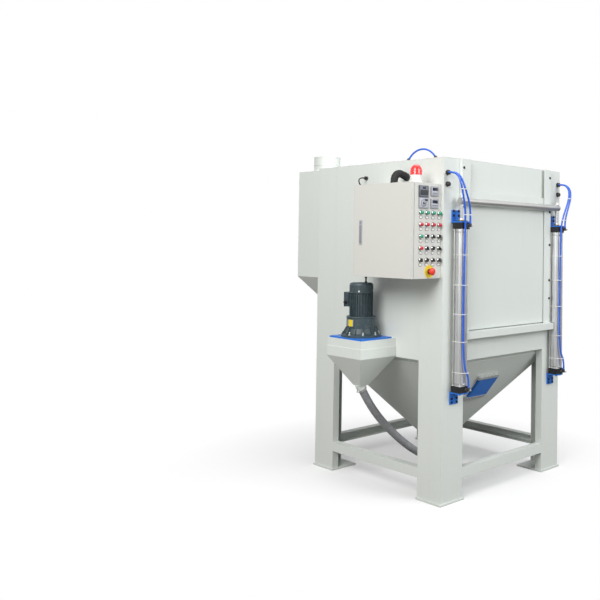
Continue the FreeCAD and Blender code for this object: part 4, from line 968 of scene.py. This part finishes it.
class CABINET_OT_stop_and_beacon(bpy.types.Operator):
    """Turns the emergency stop and the beacon"""

    bl_idname = "cabinet.stop_and_beacon"
    bl_label = "Emergency stop and beacon"

    STOP = ((48, 1, (0, 0), (38, 0), (38, 1.6), (37.4, 2), (15, 2)),
            (36, 2, (15.5, 2), (15.5, 7), (13.5, 8.5), (12, 8.5)),
            (48, 0, (12, 8.5), (11, 19), (18.5, 20.5), (21.5, 23.5), (22, 27.5), (21.2, 31.5), (17.5, 35.2),
             (11, 37.2), (5, 37.9), (0, 38)))
    FOOT = (48, 0, (0, 0), (37, 0), (37, 10.5), (36.6, 12.5), (32.7, 16.5), (32.9, 21.5), (31.8, 22),
            (31.8, 23.8), (33.2, 24.3), (33.9, 47.5), (34, 50), (0, 50))
    LENS = (60, 0, (0, 0), (36.8, 0), (37, 4), (35.8, 5.5), (36.2, 19), (35, 30), (32.5, 39), (28.5, 47),
            (23.6, 53.3), (17, 58.4), (11, 60.7), (5, 61.8), (0, 62))

    def execute(self, context):
        bm = bmesh.new()
        turned(bm, (PANEL_X + 148, PANEL_Y, 1388), FRONT, *self.STOP)
        piece("stop_button", bm, "stop_red plate_yellow plastic_black", replaced="emergency_stop")

        base = Vector((PANEL_X + 111, -500, 1906))
        bm = bmesh.new()
        turned(bm, base, UP, self.FOOT)
        for i in range(3):
            at = math.radians(20 + 120 * i)
            prism(bm, base + Vector((34.5 * math.cos(at), 34.5 * math.sin(at), 10.5)), UP, 2.2, 0, 2.2, 12, 1)
        piece("beacon_foot", bm, "plastic_white screw_black", replaced="beacon_base", flat=25)

        bm = bmesh.new()
        base.z += 50
        turned(bm, base, UP, self.LENS)
        top = mm(*base)
        # Every other line of points goes inward, which makes the flutes
        for vert in bm.verts:
            local = vert.co - top
            if 0.006 < local.z < 0.05 and round(math.atan2(local.y, local.x) * 30 / math.pi) % 2:
                vert.co = top + Vector((local.x * 0.985, local.y * 0.985, local.z))
        piece("beacon_lens", bm, "lens_red", replaced="beacon_dome", flat=60)
        return {"FINISHED"}


class CABINET_OT_conduit(bpy.types.Operator):
    """Runs the ribbed conduit from the control box into the wall"""

    bl_idname = "cabinet.conduit"
    bl_label = "Ribbed conduit"

    # Radii in metres of the core, of the ribs' own line and of a rib
    CORE, RIB_LINE, RIB = 0.0212, 0.0214, 0.0021
    # The sleeve over the nut on the box, and the sleeve at the wall
    BOX_SLEEVE = (36, 0, (21.5, 7), (23.5, 7), (24, 9), (24, 17), (22.8, 19), (21.5, 19))
    WALL_SLEEVE = (36, 0, (21.5, 0), (24, 0), (24, 12), (22.6, 15), (21.5, 15))

    def execute(self, context):
        line = conduit_line()
        core = finish_modifiers(route_curve("conduit_core", line, self.CORE, 8, "POLY"))
        core.data.shade_smooth()
        settle(core, "rubber_black", replaced="cable_conduit")
        rings("conduit_ribs", line, "rubber_black", context.scene.lines.rib_pitch, self.RIB_LINE, self.RIB,
              flatness=0.9)
        bm = bmesh.new()
        prism(bm, line[0], UP, 24, 0, 7, inner=21.5)
        turned(bm, line[0], UP, self.BOX_SLEEVE)
        turned(bm, (-600.5, CONDUIT_Y, 1962.7), LEFT, self.WALL_SLEEVE)
        piece("conduit_ends", bm, "plastic_black", ease=0.0004)
        return {"FINISHED"}


class CABINET_OT_glands(bpy.types.Operator):
    """Screws the cable glands into the posts, the wall and the roof"""

    bl_idname = "cabinet.glands"
    bl_label = "Cable glands"

    def execute(self, context):
        bm = bmesh.new()
        slant = math.sin(ROOF_LEAN)
        rise = math.cos(ROOF_LEAN)
        # Each gland: spot, way, radius, reach, and how far its nut stands off the sheet
        glands = [((side * (CAB_HALF - GLAND_IN), POST_FACE, z), FRONT, 17, 20, 0)
                  for side, word in SIDES for z in (GLAND_HIGH, GLAND_LOW)]
        glands.append(((-CAB_HALF, 93, GLAND_HIGH), LEFT, 13.6, 20, 0))
        for way in (1, -1):
            foot = (ROOF_X, ROOF_MID + way * ROOF_SPAN, ROOF_Z)
            glands.append((foot, (0, -way * slant, rise), 12, ROOF_REACH, 6))
            prism(bm, foot, UP, 12.5, 0, 10, 20)
        for spot, way, radius, reach, low in glands:
            neck, crown = radius * 0.80, radius * 0.76
            first, second, third = reach * 0.30, reach * 0.42, reach * 0.80
            prism(bm, spot, way, radius, low, first + low, phase=0.4)
            prism(bm, spot, way, radius * 0.93, second, third, phase=0.1)
            turned(bm, spot, way, (30, 1, (0, first), (neck, first), (neck, second), (0, second)),
                   (30, 0, (neck, third), (crown, reach * 0.92), (radius * 0.68, reach), (0, reach)))
        piece("gland_nuts", bm, "plastic_black screw_black", replaced="cable_glands", ease=0.0005)
        return {"FINISHED"}


class CABINET_OT_lifting_gear(bpy.types.Operator):
    """Fits the piston rods, rod glands, valves, tie-rod nuts, bracket bolts and clamps of the two air cylinders"""

    bl_idname = "cabinet.lifting_gear"
    bl_label = "Lifting gear"

    ROD = ((36, 1, (0, 0), (31.2, 0), (31.2, 38), (0, 38)), (32, 0, (11, 38), (11, 1069.7), (8, 1069.7)),
           (28, 1, (8, 1069.7), (8, 1135.8), (7, 1137.3), (0, 1137.3)))
    ROD_WASHER = (28, 2, (14, 0), (15, 0), (15, 1.8), (8.1, 1.8))
    ROD_GLAND = (32, 1, (11.7, 9.5), (16.5, 9.5), (15.8, 15), (12.8, 17), (11.7, 17), (11.7, 9.5))
    BAND = (44, 3, (34.1, 0), (35.2, 0), (35.2, 9), (34.1, 9), (34.1, 0))
    VALVE = ((28, 0, (7.2, 6.5), (7.2, 26.5), (6.2, 27.5), (0, 27.5)), (16, 1, (3.4, 27.5), (3.4, 31.5), (0, 31.5)),
             (20, 1, (5.2, 31.5), (5.4, 32.5), (5.4, 38), (4.8, 39), (0, 39)))
    ELBOW = ((28, 0, (0, -7), (7.8, -7), (8, 0), (8, 12.8), (7.2, 14), (0, 14)),
             (28, 2, (6.8, 14), (7.2, 15.2), (7.2, 17.2), (6.4, 18), (6.1, 18)))
    BOLT_OUT = (-22, 22)
    # The levels of the bracket bolts on the posts, and of those that hold a cylinder's ends with their way
    POST_BOLTS = (1749, 604, 626, 1722)
    END_BOLTS = ((1687, UP), (660, (0, 0, -1)))
    SCREW_X, SCREW_LEVELS = 448, (2015, 1780, 1554, 1311, 1187)

    def execute(self, context):
        rods = bmesh.new()
        gear = bmesh.new()
        valves = bmesh.new()
        bolts = []
        for side, word in SIDES:
            x, y = side * CYLINDER_X, CYLINDER_Y
            turned(rods, (x, y, 710), UP, *self.ROD)
            turned(rods, (x, y, 1829.4), UP, self.ROD_WASHER)
            prism(rods, (x, y, 1779.7), UP, 14, 0, 8.8, index=2, phase=0.3)
            prism(rods, (x, y, 1831.3), UP, 14, 0, 9, index=2, phase=0.7)

            prism(gear, (x, y, 1687), UP, 19, 0, 9.5, inner=11.7, phase=0.2)
            turned(gear, (x, y, 1687), UP, self.ROD_GLAND)
            for dx in ROD_OUT:
                for dy in ROD_OUT:
                    for z, phase in ((706, 0.5 + dx), (1635.2, 0.9 + dy)):
                        prism(gear, (x + dx, y + dy, z), UP, 7.5, 0, 5.8, index=2, inner=4.5, phase=phase)
            for z in (716, 1618):
                turned(gear, (x, y, z), UP, self.BAND)
                slab(gear, (x - 10, y - 43, z - 1), (x + 6, y - 34.5, z + 10), 3)
                prism(gear, (x - 14, y - 39.5, z + 4.5), (1, 0, 0), 4.2, 0, 6, index=2)

            for z in ELBOW_LEVELS:
                spot = (x + ELBOW_X, y - 36, z)
                prism(valves, spot, FRONT, 9, 0, 6.5, index=1, phase=0.5)
                turned(valves, spot, FRONT, *self.VALVE)
                turned(valves, (x + ELBOW_X, ELBOW_Y, z), UP, *self.ELBOW)
            for dx in self.BOLT_OUT:
                bolts += [((x + dx, BRACKET_FACE, z), FRONT, 1.0) for z in self.POST_BOLTS]
                bolts += [((x + dx, y + dy, z), way, 0.85) for dy in self.BOLT_OUT for z, way in self.END_BOLTS]
        piece("piston_rods_fitted", rods, "rod_metal fitting_metal zinc", "lifting_door", "piston_rods")
        piece("cylinder_fittings", gear, "brass_metal fitting_metal zinc bar_steel", ease=0.0003)
        piece("flow_controls", valves, "plastic_black fitting_metal tube_blue", replaced="flow_valves")
        sizes = context.scene.fixings
        fixings("bracket_bolts", bolts, 6, sizes.bolt, 0.0050, 0.0080)
        screws = [((side * self.SCREW_X, GUIDE_FACE, z), FRONT, 1.0)
                  for side, word in SIDES for z in self.SCREW_LEVELS]
        fixings("guide_screws", screws, 24, sizes.screw, 0.0042, sizes.screw * 1.28, True)
        return {"FINISHED"}


class CABINET_OT_cable_ties(bpy.types.Operator):
    """Ties the air tubes to the cylinders with white cable ties"""

    bl_idname = "cabinet.cable_ties"
    bl_label = "Cable ties"

    LEVELS = {"left": (1486, 1307, 1134, 970, 788), "right": (1478, 1312, 1133, 933, 777)}
    PAIR_LEVELS = (1875, 1725)
    # The radii that a tie lies on, a little over those of what it holds
    BARREL, ROD, TUBE, LOOSE_TUBE = 34.2, 4.7, 6.2, 6.8

    def execute(self, context):
        wide = context.scene.lines.tie_wide * 1000
        bm = bmesh.new()

        def spot_at(line, z):
            near = min(line, key=lambda spot: abs(spot.z - z))
            return near.x, near.y

        for side, word in SIDES:
            low, top = smooth_line(low_tube(side)), smooth_line(top_tube(side))
            x, y = side * CYLINDER_X, CYLINDER_Y
            for z in self.LEVELS[word]:
                tube_x, tube_y = spot_at(low, z)
                rods = [(x + dx, y + dy, self.ROD) for dx in ROD_OUT for dy in ROD_OUT]
                hull_band(bm, [(x, y, self.BARREL), (tube_x, tube_y, self.TUBE)] + rods, z, wide)
                slab(bm, (tube_x + 5, tube_y - 4.5, z - 3.2), (tube_x + 11, tube_y + 1.5, z + 3.2))
                slab(bm, (tube_x + 11, tube_y - 2.6, z - 1.2), (tube_x + 19, tube_y - 1.6, z + 1.2))
            for z in self.PAIR_LEVELS:
                tube_x, tube_y = spot_at(top, z)
                hull_band(bm, [(*spot_at(low, z), self.LOOSE_TUBE), (tube_x, tube_y, self.LOOSE_TUBE)], z, wide)
                slab(bm, (tube_x - 4, tube_y - 12, z - 3.2), (tube_x + 2, tube_y - 6.5, z + 3.2))
        piece("white_ties", bm, "plastic_white")
        return {"FINISHED"}


class CABINET_OT_separator(bpy.types.Operator):
    """Dresses the separator: motor studs, plate, cowl and terminal box screws, and the hose clamps"""

    bl_idname = "cabinet.separator"
    bl_label = "Separator and its motor"

    X, Y = -755, -47
    STUD = ((20, 0, (0, 0), (9.2, 0), (9.2, 1.6), (4.5, 1.6)),
            (16, 0, (4.2, 8.4), (4.2, 20.5), (3.4, 21.5), (0, 21.5)))
    BODY_RING = (60, 0, (89.5, 0), (92.5, 1), (92.5, 6), (89.5, 8))
    COWL_RING = (60, 0, (74, 0), (76.5, 1.5), (76.5, 5), (74, 7))
    # The two leaves of the plain plate: from and to in radians, finish, height over the bell
    PLATES = ((-0.30, 0.34, 1, 0.8), (-0.24, 0.12, 0, 1.3))
    BELL_RADIUS, PLATE_LEVELS = 90, (1034, 1075)
    CLAMP = (44, 0, (30, 4), (31.4, 4), (31.4, 16), (30, 16))

    def around(self, radius, degrees, z):
        at = math.radians(degrees)
        return self.X + radius * math.cos(at), self.Y + radius * math.sin(at), z

    def execute(self, context):
        x, y = self.X, self.Y
        bm = bmesh.new()
        for i in range(8):
            degrees = 11 + 45 * i
            spot = self.around(112, degrees, 979)
            turned(bm, spot, UP, *self.STUD)
            prism(bm, spot, UP, 8, 1.6, 8.4, phase=math.radians(degrees))
        for i in range(4):
            degrees = 38 + 90 * i
            way = (math.cos(math.radians(degrees)), math.sin(math.radians(degrees)), 0)
            prism(bm, self.around(74.8, degrees, 1250), way, 6.2, 0, 4.5)
        for dx in (-34, 34):
            for z in (1158, 1227):
                prism(bm, (x + dx, y + 118, z), REAR, 4.2, 0, 3, 12)
        piece("motor_fixings", bm, "zinc", flat=25)

        bm = bmesh.new()
        turned(bm, (x, y, 1085), UP, self.BODY_RING)
        turned(bm, (x, y, 1237), UP, self.COWL_RING)
        for i in range(6):
            near = 10 + 9.5 * i
            turned(bm, (x, y, 1299), UP, (48, 0, (near, 0), (near + 0.5, 2.2), (near + 4.5, 2.2), (near + 5, 0)))
        slab(bm, (x - 44, y + 114, 1146), (x + 44, y + 118, 1239))
        prism(bm, (x - 42, y + 96, 1175), LEFT, 11, 0, 6, index=1)
        turned(bm, (x - 42, y + 96, 1175), LEFT, (24, 1, (9, 6), (9.5, 12), (8, 18), (0, 18)))
        piece("motor_rings", bm, "motor_enamel plastic_black", ease=0.0004)

        bm = bmesh.new()
        for low, high, index, lift in self.PLATES:
            radius = self.BELL_RADIUS + lift
            turns = [low + (high - low) * i / 10 for i in range(11)]
            skin(bm, [[bm.verts.new(mm(x - radius * math.cos(at), y + radius * math.sin(at), z)) for at in turns]
                      for z in self.PLATE_LEVELS], index, closed=False)
        piece("plain_plate", bm, "plate_yellow plate_silver")

        bm = bmesh.new()
        line = smooth_line(grit_hose())
        for start, inward in ((line[0], line[1]), (line[-1], line[-2])):
            way = (start - inward).normalized()
            side = way.cross(Vector(UP)).normalized()
            turned(bm, start, way, self.CLAMP)
            prism(bm, start + way * 10 - side.cross(way) * 35 - side * 10, side, 4.8, 0, 20, 8)
        piece("hose_clamps", bm, "zinc", ease=0.0003)
        return {"FINISHED"}


class CABINET_OT_trim(bpy.types.Operator):
    """Adds the control box's door lock and the duct spigot's beads"""

    bl_idname = "cabinet.trim"
    bl_label = "Trim"

    DUCT_RADIUS = 95
    # The level of each bead, and its outline
    BEADS = ((2166, (64, 0, (95, 0), (96.2, 1.8), (96.2, 4.2), (95, 6))),
             (2110, (64, 0, (95, 0), (96.6, 0), (96.6, 10), (95, 10))),
             (2070, (64, 0, (95, 12), (96, 4), (105, 3), (105.5, 0), (95, 0))))

    def execute(self, context):
        bm = bmesh.new()
        slab(bm, (PANEL_X - 4, -152, 1540), (PANEL_X, -126, 1690), 0)
        slab(bm, (PANEL_X - 9, -147, 1552), (PANEL_X - 4, -131, 1660), 1)
        prism(bm, (PANEL_X - 4, -139, 1676), LEFT, 8, 0, 3.5, 28, 1)
        piece("box_lock", bm, "plastic_pale plastic_grey", ease=0.0010)

        bm = bmesh.new()
        x, y = (edge("duct_spigot", -1, axis) + self.DUCT_RADIUS for axis in (0, 1))
        for z, bead in self.BEADS:
            turned(bm, (x, y, z), UP, bead)
        piece("duct_beads", bm, "cabin_coat", flat=50)
        return {"FINISHED"}


GROUPS = {"cabin_paint": CabinPaint, "lines": Lines, "fixings": Fixings, "studio_stage": StudioStage}
OPERATORS = (
    CABINET_OT_stage, CABINET_OT_air_tubes, CABINET_OT_return_hose, CABINET_OT_coats,
    CABINET_OT_panel_buttons, CABINET_OT_panel_meters, CABINET_OT_stop_and_beacon, CABINET_OT_conduit,
    CABINET_OT_glands, CABINET_OT_lifting_gear, CABINET_OT_cable_ties, CABINET_OT_separator, CABINET_OT_trim,
)


class CABINET_PT_panel(bpy.types.Panel):
    """Lists the cabinet's settings and steps"""

    bl_idname = "CABINET_PT_panel"
    bl_label = "Sandblasting cabinet"
    bl_space_type = "VIEW_3D"
    bl_region_type = "UI"
    bl_category = "Cabinet"

    def draw(self, context):
        layout = self.layout
        for name in GROUPS:
            group = getattr(context.scene, name)
            column = layout.box().column(align=True)
            for key in group.__annotations__:
                column.prop(group, key)
        for operator in OPERATORS:
            layout.operator(operator.bl_idname)


CLASSES = (*GROUPS.values(), *OPERATORS, CABINET_PT_panel)


def register():
    for each in CLASSES:
        bpy.utils.register_class(each)
    for name, group in GROUPS.items():
        setattr(bpy.types.Scene, name, PointerProperty(type=group))


def unregister():
    for name in GROUPS:
        delattr(bpy.types.Scene, name)
    for each in reversed(CLASSES):
        bpy.utils.unregister_class(each)


def main():
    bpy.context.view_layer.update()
    register()
    for operator in OPERATORS:
        group, name = operator.bl_idname.split(".")
        getattr(getattr(bpy.ops, group), name)()


if __name__ == "__main__":
    main()
